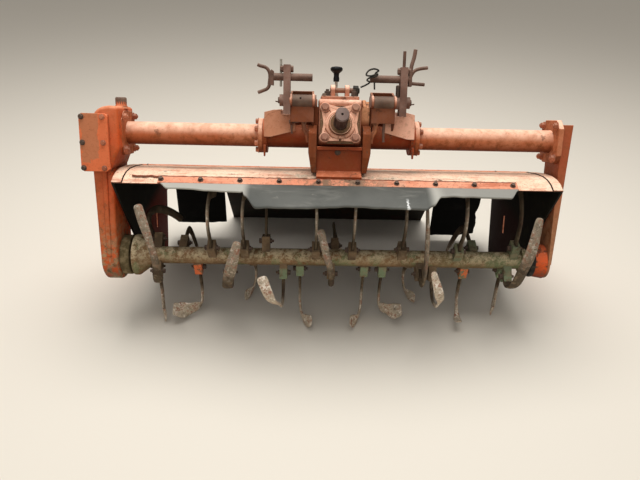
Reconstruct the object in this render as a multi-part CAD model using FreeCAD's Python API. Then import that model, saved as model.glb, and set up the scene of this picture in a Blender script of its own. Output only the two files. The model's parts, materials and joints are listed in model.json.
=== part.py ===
import FreeCAD, Part
import math
import os

# Rotary tiller for a small tractor, all sizes in millimetres.
# X runs along the rotor, Y runs to the rear, Z is up.
# Pieces are drawn upright about the rotor axis, then leaned back to stand as parked.

os.makedirs("parts", exist_ok=True)

# Driving sizes
half_width = 598.0
lean_deg = 18.0
beam_clear = 34.0
beam_radius = 30.15
beam_wall = 5.0
end_flange_size = 116.0
end_flange_thick = 14.0
end_flange_corner = 22.0
joint_flange_radius = 46.0
joint_flange_thick = 12.0
joint_flange_x = 205.0
case_thick = 40.0
case_radius = 62.0
rib_wide = 15.0
head_out = 24.0
head_in = 13.0
head_up = 66.0
head_drop = 98.0
head_front = 88.0
head_back = 50.0
head_round = 10.0
cover_width = 73.0
cover_height = 148.0
cover_thick = 9.0
cover_corner = 7.0
plate_thick = 7.0
plate_depth = 96.0
plate_rise = 46.0
plate_flange_top = 28.0
plate_flange_low = 9.0
rotor_radius = 24.15
rotor_wall = 5.0
rotor_solid_left = 60.0
rotor_solid_right = 30.0
tine_layout_half = 598.0
rotor_gap_left = 32.0
rotor_gap_right = 52.0
stub_radius = 14.0
stub_out = 8.0
boss_radius = 56.0
bearing_radius = 50.0
holder_side = 34.0
holder_wide = 22.0
shaft_radius = 17.45
shaft_root = 14.6
shaft_lift_deg = 15.5
gear_rise = 39.0
gear_above = 60.0
gear_below = 62.0
gear_half = 56.0
gear_front = -62.0
gear_back = 78.0
cheek_in = 60.0
cheek_out = 82.0
lug_gap = 26.0
lug_thick = 12.0
lug_radius = 14.0
lug_y = -20.0
link_pin_radius = 8.0
hood_sheet = 4.0
hood_inset = 14.0
hood_top = 249.0
lip_y = -112.0
lip_drop = 32.0
rail_y = 126.0
rail_drop = 11.0
rail_tall = 8.0
hinge_y = 458.0
hinge_z = 148.0
board_length = 278.0
board_half = 380.0
board_start = 20.0
board_sheet = 5.0
knuckle_length = 60.0
knuckle_inset = 20.0
knuckle_reach = 24.0
flap_sheet = 6.0
flap_gap = 6.0
flap_inset = 24.0
flap_clear = 22.0
flap_thick = 4.0
flap_left_inset = 129.0
flap_right_inset = 124.0
flap_mid_left = 230.0
flap_mid_right = 240.0
sleeve_y = -72.0
sleeve_rise = 93.0
sleeve_radius = 14.5
sleeve_length = 61.0
bracket_sheet = 5.0
sleeve_end_left = 130.0
sleeve_end_right = 142.0
spacer_right = 9.0
pivot_radius = 8.0
arm_thick = 18.0
arm_half = 16.0
arm_drop = 34.0
swing_clear = 7.0
pin_height = 58.0
pin_radius = 9.5
pin_inner = 74.0
grip_gap_left = 25.0
grip_gap_right = 8.0
wire_radius = 3.0
stop_radius = 4.0
running = 0.05
soft_gap = 0.3

# Heights and places that follow from them
beam_height = hood_top + beam_clear + end_flange_size / 2
gear_height = beam_height + gear_rise
hood_half = half_width - hood_inset
flap_reach = hood_half - flap_inset
flap_left = hood_half - flap_left_inset
flap_right = hood_half - flap_right_inset
sleeve_z = beam_height + sleeve_rise
lip_z = hood_top - lip_drop
rail_z = hood_top - rail_drop
arm_left = sleeve_end_left
arm_right = sleeve_end_right + spacer_right

V = FreeCAD.Vector
X = V(1, 0, 0)
shapes = {}


def box(x0, x1, y0, y1, z0, z1):
    return Part.makeBox(x1 - x0, y1 - y0, z1 - z0, V(x0, y0, z0))


def rod(radius, start, end):
    start = V(*start)
    end = V(*end)
    return Part.makeCylinder(radius, (end - start).Length, start, end - start)


def tube(outer, inner, start, end):
    return rod(outer, start, end).cut(rod(inner, start, end))


def plate_x(points, x0, x1):
    # A flat outline given as (y, z) pairs, thickened along X.
    wire = Part.makePolygon([V(x0, y, z) for y, z in points + points[:1]])
    return Part.Face(wire).extrude(V(x1 - x0, 0, 0))


def plate_y(points, y0, y1):
    # A flat outline given as (x, z) pairs, thickened along Y.
    wire = Part.makePolygon([V(x, y0, z) for x, z in points + points[:1]])
    return Part.Face(wire).extrude(V(0, y1 - y0, 0))


def join(pieces):
    solid = pieces[0].multiFuse(pieces[1:]) if len(pieces) > 1 else pieces[0]
    return solid.removeSplitter()


def cut(solid, tools):
    for tool in tools:
        solid = solid.cut(tool)
    return solid


def mirrored(shape):
    return shape.mirror(V(0, 0, 0), X)


def sheet_x(points, thick, x0, x1):
    # A bent sheet: the (y, z) line is the upper face, the thickness goes below it.
    lower = []
    for i, (y, z) in enumerate(points):
        a = points[max(i - 1, 0)]
        b = points[min(i + 1, len(points) - 1)]
        run = math.hypot(b[0] - a[0], b[1] - a[1])
        lower.append((y + thick * (b[1] - a[1]) / run, z - thick * (b[0] - a[0]) / run))
    return plate_x(points + lower[::-1], x0, x1)


def bar_along(path, sections):
    # A four sided bar through the points of a path, one rectangle at each point.
    rings = []
    for (centre, wide, thin), (half_w, half_t) in zip(path, sections):
        corners = [
            centre + wide * half_w + thin * half_t,
            centre - wide * half_w + thin * half_t,
            centre - wide * half_w - thin * half_t,
            centre + wide * half_w - thin * half_t,
        ]
        rings.append(corners)
    faces = [Part.Face(Part.makePolygon(rings[0] + rings[0][:1]))]
    faces.append(Part.Face(Part.makePolygon(rings[-1] + rings[-1][:1])))
    for low, high in zip(rings, rings[1:]):
        for k in range(4):
            a, b = low[k], low[(k + 1) % 4]
            c, d = high[(k + 1) % 4], high[k]
            faces.append(Part.Face(Part.makePolygon([a, b, c, a])))
            faces.append(Part.Face(Part.makePolygon([a, c, d, a])))
    solid = Part.makeSolid(Part.makeShell(faces))
    if solid.Volume < 0:
        solid.reverse()
    return solid


# Beam tubes with their square end flange and round joint flange
def beam_tube(end_x):
    half = end_flange_size / 2
    chamfer = end_flange_corner
    outline = [
        (-half + chamfer, beam_height - half),
        (half - chamfer, beam_height - half),
        (half, beam_height - half + chamfer),
        (half, beam_height + half - chamfer),
        (half - chamfer, beam_height + half),
        (-half + chamfer, beam_height + half),
        (-half, beam_height + half - chamfer),
        (-half, beam_height - half + chamfer),
    ]
    a = joint_flange_x
    body = join([
        rod(beam_radius, (a, 0, beam_height), (end_x, 0, beam_height)),
        plate_x(outline, end_x - end_flange_thick, end_x),
        rod(joint_flange_radius, (a, 0, beam_height), (a + joint_flange_thick, 0, beam_height)),
    ])
    return body.cut(rod(beam_radius - beam_wall, (a, 0, beam_height), (end_x, 0, beam_height)))


shapes["beam_tube_right"] = beam_tube(half_width)
shapes["beam_tube_left"] = mirrored(beam_tube(half_width - head_in))

# Inner axle housings between the gear housing and the beam tubes
joint_x0 = joint_flange_x - joint_flange_thick
axle_space = rod(beam_radius + 1, (cheek_out, 0, beam_height), (joint_flange_x, 0, beam_height))
joint_space = rod(joint_flange_radius, (joint_x0, 0, beam_height), (joint_flange_x, 0, beam_height))
inner = join([axle_space, joint_space])
inner = inner.cut(rod(beam_radius - beam_wall, (cheek_out, 0, beam_height), (joint_flange_x, 0, beam_height)))
shapes["axle_housing_right"] = inner
shapes["axle_housing_left"] = mirrored(inner)

# Gear housing
gear_low = gear_height - gear_below
gear_top = gear_height + gear_above
housing = box(-gear_half, gear_half, gear_front, gear_back, gear_low, gear_top)
housing = housing.makeFillet(12.0, [e for e in housing.Edges if abs(e.BoundBox.XLength) > 100])
shapes["gear_housing"] = housing

# Input shaft direction and its bearing cap
lift = math.radians(shaft_lift_deg)
shaft_dir = V(0, -math.cos(lift), math.sin(lift))
shaft_up = V(0, math.sin(lift), math.cos(lift))
cap_base = V(0, gear_front - 2, gear_height - 8)


def on_cap(right, up, out):
    return cap_base + X * right + shaft_up * up + shaft_dir * out


def cap_prism(points, out0, out1):
    wire = Part.makePolygon([on_cap(r, u, out0) for r, u in points + points[:1]])
    return Part.Face(wire).extrude(shaft_dir * (out1 - out0))


cap_plate = cap_prism([
    (-52, -34), (-36, -50), (36, -50), (52, -34),
    (52, 34), (36, 50), (-36, 50), (-52, 34)], -14, 12)
cap = join([
    cap_plate,
    Part.makeCylinder(30, 26, on_cap(0, 0, 0), shaft_dir),
])
cap = cap.cut(Part.makeCylinder(shaft_radius + running, 60, on_cap(0, 0, -20), shaft_dir))
cap = cap.cut(housing)
shaft_deep = 60.0
seat = Part.makeCylinder(shaft_radius + 6, shaft_deep + 30, on_cap(0, 0, -shaft_deep - 10), shaft_dir)
shapes["bearing_cap"] = cap
shapes["gear_housing"] = housing.cut(seat)

# Splined input shaft
shaft_len = 112.0
shaft = Part.makeCylinder(shaft_radius, shaft_len + shaft_deep, on_cap(0, 0, -shaft_deep), shaft_dir)
spline_start = 38.0
for k in range(6):
    turn = math.radians(60 * k + 30)
    side = X * math.cos(turn) + shaft_up * math.sin(turn)
    across = X * -math.sin(turn) + shaft_up * math.cos(turn)
    corner = on_cap(0, 0, spline_start) + side * shaft_root + across * -4.6
    groove = Part.makePolygon([
        corner, corner + across * 9.2, corner + across * 9.2 + side * 8, corner + side * 8, corner])
    shaft = shaft.cut(Part.Face(groove).extrude(shaft_dir * shaft_len))
shaft = shaft.cut(Part.makeCone(3.5, 0.5, 5, on_cap(0, 0, shaft_len), shaft_dir * -1))
shapes["input_shaft"] = shaft

# Top lid with the lugs for the top link, its pin and the oil dipstick
lug_z = gear_top + 24.0
lug_out = lug_gap / 2 + lug_thick
lug = join([
    box(lug_gap / 2, lug_out, lug_y - lug_radius, lug_y + lug_radius, gear_top + 6, lug_z),
    rod(lug_radius, (lug_gap / 2, lug_y, lug_z), (lug_out, lug_y, lug_z)),
])
lid = join([
    box(6 - gear_half, gear_half - 6, gear_front + 12, gear_back - 16, gear_top, gear_top + 8),
    lug,
    mirrored(lug),
])
lid = lid.cut(rod(link_pin_radius + 0.2, (-lug_out - 1, lug_y, lug_z), (lug_out + 1, lug_y, lug_z)))
stick_x = -8.0
stick_y = 40.0
lid = lid.cut(rod(7, (stick_x, stick_y, gear_top), (stick_x, stick_y, gear_top + 9)))
shapes["top_link_lugs"] = lid
shapes["top_link_pin"] = join([
    rod(link_pin_radius, (-lug_out - 9, lug_y, lug_z), (lug_out + 9, lug_y, lug_z)),
    rod(link_pin_radius + 4, (-lug_out - 15, lug_y, lug_z), (-lug_out - 9, lug_y, lug_z)),
    rod(link_pin_radius - 2, (lug_out + 9, lug_y, lug_z), (lug_out + 17, lug_y, lug_z)),
])
shapes["dipstick"] = join([
    rod(7, (stick_x, stick_y, gear_top), (stick_x, stick_y, gear_top + 16)),
    rod(4, (stick_x, stick_y, gear_top + 12), (stick_x, stick_y, gear_top + 57)),
    rod(8, (stick_x, stick_y, gear_top + 54), (stick_x, stick_y, gear_top + 78)),
    rod(17, (stick_x, stick_y, gear_top + 76), (stick_x, stick_y, gear_top + 90)),
])

# Cheeks and front plate that carry the gear housing on the hood
foot_low = hood_top - 4
foot_top = hood_top + 4
shoulder = gear_height - 8
cheek_upper = plate_x([
    (-50, shoulder), (gear_back, shoulder), (gear_back, gear_top - 20), (60, gear_top), (-30, gear_top),
    (-50, gear_top - 16)], cheek_in, cheek_in + 9)
cheek_low = foot_top - 4
cheek_lower = plate_x([
    (-76, cheek_low), (gear_back, cheek_low), (gear_back, shoulder), (-60, shoulder),
    (-78, shoulder - 20), (-82, foot_top + 38)], cheek_in, cheek_out)
taper = plate_y([
    (cheek_out + 1, cheek_low - 40), (cheek_out - 9, cheek_low - 40), (cheek_out - 9, cheek_low),
    (cheek_out + 1, cheek_low + 60)], gear_front - 40, gear_back + 1)
cheek_lower = cheek_lower.cut(taper)
cheek = join([cheek_upper, cheek_lower])
filler_block = box(gear_half, cheek_in, gear_front + 12, gear_back - 12, gear_low, gear_top - 20)
cheek = join([cheek, filler_block])
cheek_web = plate_x([
    (-50, shoulder), (20, shoulder), (20, gear_top - 4), (-30, gear_top - 4), (-50, gear_top - 20)],
    cheek_in, cheek_out - 3)
shapes["cheek_right"] = join([cheek, cheek_web])
shapes["cheek_left"] = mirrored(cheek)
shapes["pedestal_plate"] = join([
    box(-cheek_in, cheek_in, gear_front - 2, gear_front + 8, foot_low, gear_low),
    box(-cheek_in, cheek_in, gear_front - 16, gear_back, gear_low - 9, gear_low),
    plate_x([
        (gear_front - 26, foot_low - 15), (gear_front - 2, foot_low), (gear_back + 6, foot_low),
        (gear_back + 6, foot_top), (gear_front - 2, foot_top), (gear_front - 28, foot_top - 12)],
        -cheek_in, cheek_in),
])

# Hood: the top sheet follows the rotor, then slopes down to the board hinge
lip_step_y = 20.0
lip_step_z = 14.0
hood_line = [
    (lip_y, lip_z), (lip_y + lip_step_y, lip_z + lip_step_z), (lip_y + 46, hood_top - 8),
    (lip_y + 78, hood_top - 2), (20, hood_top), (80, hood_top - 2),
    (rail_y, rail_z), (rail_y + 60, rail_z - 14), (hinge_y - 14, hinge_z + 12)]
shapes["hood_sheet"] = sheet_x(hood_line, hood_sheet, -hood_half, hood_half)
under = plate_x(hood_line + [(hinge_y, 0), (lip_y, 0)], -hood_half, hood_half)
for name in ("cheek_left", "cheek_right", "pedestal_plate"):
    shapes[name] = shapes[name].cut(under)

# Rotor reach sets how high the axis stands
lean = math.radians(lean_deg)


def parked(y, z):
    return (y * math.cos(lean) + z * math.sin(lean), z * math.cos(lean) - y * math.sin(lean))


def upright(y, z):
    return (y * math.cos(lean) - z * math.sin(lean), z * math.cos(lean) + y * math.sin(lean))


tine_spread = half_width / tine_layout_half

# Each blade: place along the rotor, root angle as parked (0 rear, 90 up), sweep, side step, wing radius
blades = [
    (-514, 287, 22, 18, 196), (-503, 54, 56, 58, 190), (-436, 24, 50, 42, 190), (-394, 288, 24, -62, 168),
    (-346, 124, 38, 14, 192), (-254, 124, 38, 14, 192), (-238, 322, 30, -32, 188), (-197, 78, 34, 20, 192),
    (-100, 287, 30, 36, 192), (-56, 124, 38, -12, 192), (0, 22, 44, 30, 190), (46, 124, 38, 12, 192),
    (86, 288, 30, -36, 192), (139, 287, 22, 64, 168), (186, 118, 36, -14, 192), (222, 322, 30, 36, 188),
    (345, 122, 36, 10, 192), (376, 286, 30, -28, 192), (402, 22, 50, -44, 190), (490, 294, 16, -12, 196),
    (508, 104, 40, 22, 190),
]
# Each hook: the same, then the radius of its tip and how far it bellies out
hooks = [
    (-503, 238, 122, -14, 208, 1.0), (-300, 246, 104, 40, 178, 1.05), (-147, 254, 84, -48, 186, 1.42),
    (-12, 240, 112, -34, 166, 1.0), (280, 252, 88, -22, 182, 1.40), (494, 238, 118, 30, 200, 1.0),
]
sickles = [(240, 222, 112, -6, 204, 1.05)]
blade_r = [26, 90, 140, 178, 201, 204, 1.0]
blade_turn = [0, 0.04, 0.14, 0.36, 0.60, 0.82, 1.0]
blade_side = [0, 0, 0, 0.05, 0.28, 0.66, 1.0]
blade_size = [(13, 4.5), (13, 4.5), (12.5, 4.5), (13, 4.5), (17, 4.2), (20, 3.8), (16, 2.4)]
hook_r = [26, 76, 98, 114, 146, 1.0]
hook_turn = [0, 0.11, 0.36, 0.60, 0.80, 1.0]
hook_side = [0, 0, 0.05, 0.25, 0.60, 1.0]
hook_size = [(13, 4.5), (15, 5), (16, 5.5), (17, 6), (17, 6), (13, 4.5)]


def ring_point(x, out, angle):
    a = math.radians(angle)
    return V(x, out * math.cos(a), out * math.sin(a))


def bent_bar(points, sizes, flat_out):
    # A flat bar through the points, its broad face looking outward or along the rotor.
    path = []
    for i, p in enumerate(points):
        a = points[max(i - 1, 0)]
        b = points[min(i + 1, len(points) - 1)]
        ahead = (b - a).normalize()
        along = (X - ahead * X.dot(ahead)).normalize()
        across = ahead.cross(along).normalize()
        path.append((p, along, across) if flat_out else (p, across, along))
    return bar_along(path, sizes)


def blade_tine(x, angle, sweep, side, reach):
    # The leg runs out flat, then rolls over sideways into the cutting wing.
    radii = blade_r[:-1] + [reach]
    points = [ring_point(x + side * s, min(r, reach + 12), angle - sweep * t)
              for r, t, s in zip(radii, blade_turn, blade_side)]
    return bent_bar(points, blade_size, False)


def hook_tine(x, angle, sweep, side, reach, belly, flat_out=True):
    # A long flat bar curled back round the rotor.
    radii = [hook_r[0]] + [r * belly for r in hook_r[1:-1]] + [reach]
    points = [ring_point(x + side * s, r, angle - sweep * t)
              for r, t, s in zip(radii, hook_turn, hook_side)]
    return bent_bar(points, hook_size, flat_out)


def one_holder(x, angle):
    # A square socket standing on the rotor tube.
    a = math.radians(angle)
    out = V(0, math.cos(a), math.sin(a))
    across = V(0, -math.sin(a), math.cos(a))
    base = V(x - holder_wide / 2, 0, 0) + out * 18 - across * (holder_side / 2)
    wire = Part.makePolygon([base, base + X * holder_wide, base + X * holder_wide + across * holder_side,
                             base + across * holder_side, base])
    return Part.Face(wire).extrude(out * 44)


def settle(points):
    # Turn the rotor until it rests on its two lowest tips, one each side of its axis.
    turn = 0.0
    for step in range(3):
        c = math.cos(turn)
        s = math.sin(turn)
        spots = [(p.y * c - p.z * s, p.y * s + p.z * c) for p in points]
        low = min(spots, key=lambda q: q[1])
        others = [q for q in spots if q[0] * low[0] < 0]
        slope = min(((q[1] - low[1]) / abs(q[0] - low[0]), q[0], q[1]) for q in others)
        turn -= math.atan2((slope[2] - low[1]) / (slope[1] - low[0]), 1)
    return turn


left_tines = []
right_tines = []
hook_tines = []
placed_tines = []
for drawn_x, angle, sweep, side, reach in blades:
    x = drawn_x * tine_spread
    tine = blade_tine(x, angle, sweep, side, reach)
    placed_tines.append((x, angle, tine))
    (right_tines if side > 0 else left_tines).append(tine)
for drawn_x, angle, sweep, side, reach, belly in hooks:
    x = drawn_x * tine_spread
    tine = hook_tine(x, angle, sweep, side, reach, belly)
    placed_tines.append((x, angle, tine))
    hook_tines.append(tine)
for drawn_x, angle, sweep, side, reach, belly in sickles:
    x = drawn_x * tine_spread
    tine = hook_tine(x, angle, sweep, side, reach, belly, False)
    placed_tines.append((x, angle, tine))
    hook_tines.append(tine)
rotor_turn = settle([v.Point for x, angle, tine in placed_tines for v in tine.Vertexes])
beside = 60.0
holders = [cut(one_holder(x, angle), [t for place, turn, t in placed_tines if abs(place - x) < beside])
           for x, angle, tine in placed_tines]

rotor_left = rotor_gap_left - half_width
rotor_right = half_width - rotor_gap_right
core = join([
    rod(rotor_radius, (rotor_left, 0, 0), (rotor_right, 0, 0)),
    Part.makeCone(58, rotor_radius, 44, V(rotor_left + 12, 0, 0), X),
    rod(58, (rotor_left, 0, 0), (rotor_left + 12, 0, 0)),
    rod(36, (rotor_right - 14, 0, 0), (rotor_right, 0, 0)),
])
bore_x0 = rotor_left + rotor_solid_left
bore_x1 = rotor_right - rotor_solid_right
core = core.cut(rod(rotor_radius - rotor_wall, (bore_x0, 0, 0), (bore_x1, 0, 0)))
core = core.fuse([
    rod(stub_radius, (-half_width - stub_out, 0, 0), (rotor_left, 0, 0)),
    rod(stub_radius, (rotor_right, 0, 0), (half_width + stub_out, 0, 0)),
])
shapes["rotor_tube"] = core.removeSplitter()
shapes["tine_holders"] = Part.Compound([h.cut(core) for h in holders])
shapes["tines_left_hand"] = Part.Compound([t.cut(core) for t in left_tines])
shapes["tines_right_hand"] = Part.Compound([t.cut(core) for t in right_tines])
shapes["hook_tines"] = Part.Compound([t.cut(core) for t in hook_tines])
rotor_names = ["tine_holders", "tines_left_hand", "tines_right_hand", "hook_tines"]
for name in rotor_names:
    shapes[name].rotate(V(0, 0, 0), X, lean_deg + math.degrees(rotor_turn))

# Chain case on the left, with its wider head
case_x1 = -half_width
case_x0 = case_x1 - case_thick
head_x0 = case_x0 - head_out
head_z0 = beam_height - head_drop
head_z1 = beam_height + head_up
head = box(head_x0, case_x1, -head_front, head_back, head_z0, head_z1)
head = head.makeFillet(head_round, head.Edges)
body = join([
    rod(case_radius, (case_x0, 0, 0), (case_x1, 0, 0)),
    box(case_x0, case_x1, -case_radius, case_radius, 0, beam_height),
    head,
    box(case_x1 - head_round, case_x1 + head_in, -head_up, head_back, beam_height - head_up, head_z1),
])
rib_x = (case_x0 + case_x1) / 2 - 1
rib = box(rib_x - rib_wide / 2, rib_x + rib_wide / 2, -case_radius - 6, -case_radius + 4,
          10, head_z0 + head_round)
hole_radius = stub_radius + 6
boss_hole = rod(hole_radius, (case_x1 - stub_out - 6, 0, 0), (case_x1 + 2, 0, 0))
shapes["chain_case"] = join([body, rib]).cut(boss_hole)
cover_x0 = head_x0 - 6
cover_x1 = cover_x0 + cover_width
cover_z1 = head_z0 + cover_height
c = cover_corner
shapes["case_cover"] = plate_y([
    (cover_x0 + c, head_z0), (cover_x1 - c, head_z0), (cover_x1, head_z0 + c), (cover_x1, cover_z1 - c),
    (cover_x1 - c, cover_z1), (cover_x0 + c, cover_z1), (cover_x0, cover_z1 - c), (cover_x0, head_z0 + c)],
    -head_front - cover_thick, -head_front)
neck_x = case_x1 + 6.0
neck_y = -10.0
shapes["filler_plug"] = join([
    rod(12, (neck_x, neck_y, head_z1), (neck_x, neck_y, head_z1 + 18)),
    rod(14, (neck_x, neck_y, head_z1 + 14), (neck_x, neck_y, head_z1 + 27)),
])
end_gap = 6.0
shapes["rotor_boss"] = tube(boss_radius, stub_radius + running, (case_x1, 0, 0), (rotor_left - end_gap, 0, 0))

# Side plate on the right, a channel open to the outside, and the rotor bearing
px0 = half_width
px1 = half_width + plate_thick
pf = -plate_depth / 2
pb = plate_depth / 2
plate_top = beam_height + plate_rise


def side_flange(y):
    # An outward flange that narrows towards the rotor.
    wire = Part.makePolygon([
        V(px0, y, 0), V(px0 + plate_flange_low, y, 0),
        V(px0 + plate_flange_top, y, plate_top), V(px0, y, plate_top), V(px0, y, 0)])
    return Part.Face(wire).extrude(V(0, plate_thick, 0))


side = join([
    box(px0, px1, pf, pb, 0, plate_top),
    rod(pb, (px0, 0, 0), (px1, 0, 0)),
    side_flange(pf),
    side_flange(pb - plate_thick),
])
side = side.cut(rod(hole_radius, (px0 - 1, 0, 0), (px1 + 1, 0, 0)))
shapes["side_plate"] = side
bearing_x0 = rotor_right + end_gap
bearing = Part.makeCone(bearing_radius - 8, bearing_radius, px0 - bearing_x0, V(bearing_x0, 0, 0), X)
shapes["rotor_bearing"] = bearing.cut(rod(stub_radius + running, (bearing_x0, 0, 0), (px0, 0, 0)))

# Hood ends, their rear corners reaching the floor
contact = 0.0
for name in rotor_names:
    turned = shapes[name].copy()
    turned.rotate(V(0, 0, 0), X, -lean_deg)
    contact = min(contact, turned.BoundBox.ZMin)
stand = -contact
corner_y = hinge_y - 24.0
end_low_y = 130.0
end_sheet = 6.0
slit_y = 300.0
corner_z = (corner_y * math.sin(lean) - stand) / math.cos(lean)
end_plate = plate_x(hood_line + [
    (hinge_y + 11, hinge_z + 9), (hinge_y + 11, hinge_z - 11), (hinge_y - 8, hinge_z - 24),
    (corner_y + 8, corner_z + 40), (corner_y, corner_z),
    (end_low_y, -20), (end_low_y - 38, 8)], hood_half, hood_half + end_sheet)
end_plate = end_plate.cut(box(hood_half - 1, hood_half + end_sheet + 1, slit_y, slit_y + 4, 20, 80))
shapes["hood_end_right"] = end_plate
shapes["hood_end_left"] = mirrored(end_plate)

# Strip along the lip, rails along the back of the hood
strip_inset = 114.0
strip_line = [(lip_y - 2.5, lip_z + 3.2), (lip_y + lip_step_y - 2.5, lip_z + lip_step_z + 3.2)]
strip = plate_x([(lip_y, lip_z), (lip_y + lip_step_y, lip_z + lip_step_z)] + strip_line[::-1],
                strip_inset - hood_half, hood_half - strip_inset)
shapes["lip_strip"] = strip
rail_inner = 74.0
rail = box(rail_inner, hood_half, rail_y - 3, rail_y + 3, rail_z, rail_z + rail_tall).cut(under)
shapes["rail_right"] = rail
shapes["rail_left"] = mirrored(rail)

# Front rubber flap under the lip, bent round outside the tines
def flap_line(last_deg):
    run = math.hypot(lip_step_y, lip_step_z)
    low = (lip_y + hood_sheet * lip_step_z / run, lip_z - hood_sheet * lip_step_y / run)
    line = [(low[0] + lip_step_y * 0.9, low[1] + lip_step_z * 0.9), low]
    lip_deg = math.degrees(math.atan2(lip_z, lip_y)) - 1
    steps = 5
    for i in range(1, steps + 1):
        a = math.radians(lip_deg + (last_deg - lip_deg) * i / steps)
        r = math.hypot(lip_y, lip_z) + 2 + 7 * i / steps
        line.append((r * math.cos(a), r * math.sin(a)))
    return line[::-1]


shapes["front_flap"] = join([
    sheet_x(flap_line(141), flap_thick, -flap_mid_left, flap_mid_right),
    sheet_x(flap_line(128), flap_thick, -flap_left, flap_right),
])

# Rear board on its hinge rod, resting its lower edge on the floor
hy, hz = parked(hinge_y, hinge_z)
rest = math.asin((hz + stand - board_sheet) / board_length)
low_y, low_z = upright(hy + board_length * math.cos(rest), hz - board_length * math.sin(rest))
shapes["hinge_rod"] = rod(6, (-hood_half, hinge_y, hinge_z), (hood_half, hinge_y, hinge_z))


def board_piece(x0, x1, start, end, thick):
    uy = (low_y - hinge_y) / board_length
    uz = (low_z - hinge_z) / board_length
    ny, nz = -uz, uy
    a = (hinge_y + uy * start, hinge_z + uz * start)
    b = (hinge_y + uy * end, hinge_z + uz * end)
    h = thick / 2
    return plate_x([(a[0] + ny * h, a[1] + nz * h), (b[0] + ny * h, b[1] + nz * h),
                    (b[0] - ny * h, b[1] - nz * h), (a[0] - ny * h, a[1] - nz * h)], x0, x1)


rod_hole = 6 + running
last_knuckle = board_half - knuckle_inset - knuckle_length
knuckle_starts = [knuckle_inset - board_half, -knuckle_length / 2, last_knuckle]
knuckles = [tube(12, rod_hole, (x, hinge_y, hinge_z), (x + knuckle_length, hinge_y, hinge_z))
            for x in knuckle_starts]
straps = [board_piece(x, x + knuckle_length, 4, knuckle_reach, board_sheet) for x in knuckle_starts]
hollow = rod(rod_hole, (-board_half, hinge_y, hinge_z), (board_half, hinge_y, hinge_z))
shapes["rear_board"] = join([
    board_piece(-board_half, board_half, board_start, board_length, board_sheet),
    rod(5, (-board_half, low_y, low_z), (board_half, low_y, low_z)),
] + straps + knuckles).cut(hollow)

# Rubber flaps beside the board, hanging straight down from the hinge rod
flap_x0 = board_half + flap_gap
hang = hz + stand - flap_clear
down_y = math.sin(lean) * hang
down_z = -math.cos(lean) * hang
thick_y = math.cos(lean) * flap_sheet
thick_z = math.sin(lean) * flap_sheet
flap_top_y = hinge_y + rod_hole + 1
rear_flap = join([
    rod(rod_hole + flap_sheet, (flap_x0, hinge_y, hinge_z), (flap_reach, hinge_y, hinge_z)),
    plate_x([
        (flap_top_y, hinge_z), (flap_top_y + down_y, hinge_z + down_z),
        (flap_top_y + down_y + thick_y, hinge_z + down_z + thick_z),
        (flap_top_y + thick_y, hinge_z + thick_z)], flap_x0, flap_reach),
])
rear_flap = rear_flap.cut(rod(6 + soft_gap, (flap_x0, hinge_y, hinge_z), (flap_reach, hinge_y, hinge_z)))
shapes["rear_flap_right"] = rear_flap
shapes["rear_flap_left"] = mirrored(rear_flap)

# Hitch brackets with sleeves, and the bent shields over the axle housings
saddle = beam_height + beam_radius + 1
bracket_top = sleeve_z + sleeve_radius
bracket_back = -22.0
bracket_rise = 12.0


def hitch_bracket(bx1):
    # Two end plates, a front plate below the sleeve and a sloping back plate behind it.
    bx0 = bx1 - sleeve_length
    outline = [
        (sleeve_y - 3, sleeve_z), (sleeve_y - 3, saddle + 8), (-34, beam_height + 8), (0, beam_height + 16),
        (14, saddle - 4), (bracket_back, bracket_top + bracket_rise), (sleeve_y, bracket_top)]
    body = join([
        rod(sleeve_radius, (bx0, sleeve_y, sleeve_z), (bx1, sleeve_y, sleeve_z)),
        plate_x(outline, bx0, bx0 + bracket_sheet),
        plate_x(outline, bx1 - bracket_sheet, bx1),
        box(bx0, bx1, sleeve_y - 3, sleeve_y - 3 + bracket_sheet, saddle + 8, sleeve_z),
        plate_x([(bracket_back, bracket_top + bracket_rise), (14, saddle - 4), (8, saddle - 6),
                 (bracket_back - 6, bracket_top + bracket_rise - 1)], bx0, bx1),
    ])
    bore = rod(pivot_radius + running, (bx0 - 1, sleeve_y, sleeve_z), (bx1 + 1, sleeve_y, sleeve_z))
    return cut(body, [bore, axle_space, cheek])


shield_x0 = 118.0
shield_x1 = joint_flange_x - 5
shield_low = beam_height - 6
shield_top = beam_height + 72
shield_slope = plate_y([
    (shield_x0 - 1, shield_low - 1), (shield_x1 + 1, shield_low - 1), (shield_x1 + 1, shield_low),
    (shield_x0 - 1, shield_low + 22)], -60, 0)
shield_shoulder = plate_y([
    (shield_x0 + 30, shield_top + 1), (shield_x1 + 1, shield_top + 1), (shield_x1 + 1, shield_top - 22),
    (shield_x1 - 14, shield_top - 12), (shield_x0 + 30, shield_top)], -60, 1)


def hitch_shield(bracket, arm_x):
    # A sheet facing forward and up, its lower edge falling towards the joint, notched where the arm swings.
    swing = math.hypot(arm_half, arm_drop) + swing_clear
    notch_x0 = arm_x - swing_clear
    notch_x1 = arm_x + arm_thick + swing_clear
    notch = rod(swing, (notch_x0, sleeve_y, sleeve_z), (notch_x1, sleeve_y, sleeve_z))
    body = join([
        plate_x([(-42, shield_low), (-52, shield_low + 5), (-44, shield_top),
                 (-34, shield_top)], shield_x0, shield_x1),
        box(joint_x0 - 3, joint_x0 + 5, -46, 0, shield_low + 12, shield_top),
    ])
    return cut(body, [joint_space, axle_space, bracket, shield_slope, shield_shoulder, notch])


shapes["hitch_bracket_right"] = hitch_bracket(sleeve_end_right)
shapes["hitch_bracket_left"] = mirrored(hitch_bracket(sleeve_end_left))
shapes["shield_right"] = hitch_shield(hitch_bracket(sleeve_end_right), arm_right)
shapes["shield_left"] = mirrored(hitch_shield(hitch_bracket(sleeve_end_left), arm_left))

# Hitch arms, each on its pivot bolt through a sleeve
pin_z = sleeve_z + pin_height
arm_top = pin_z + 30.0


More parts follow.
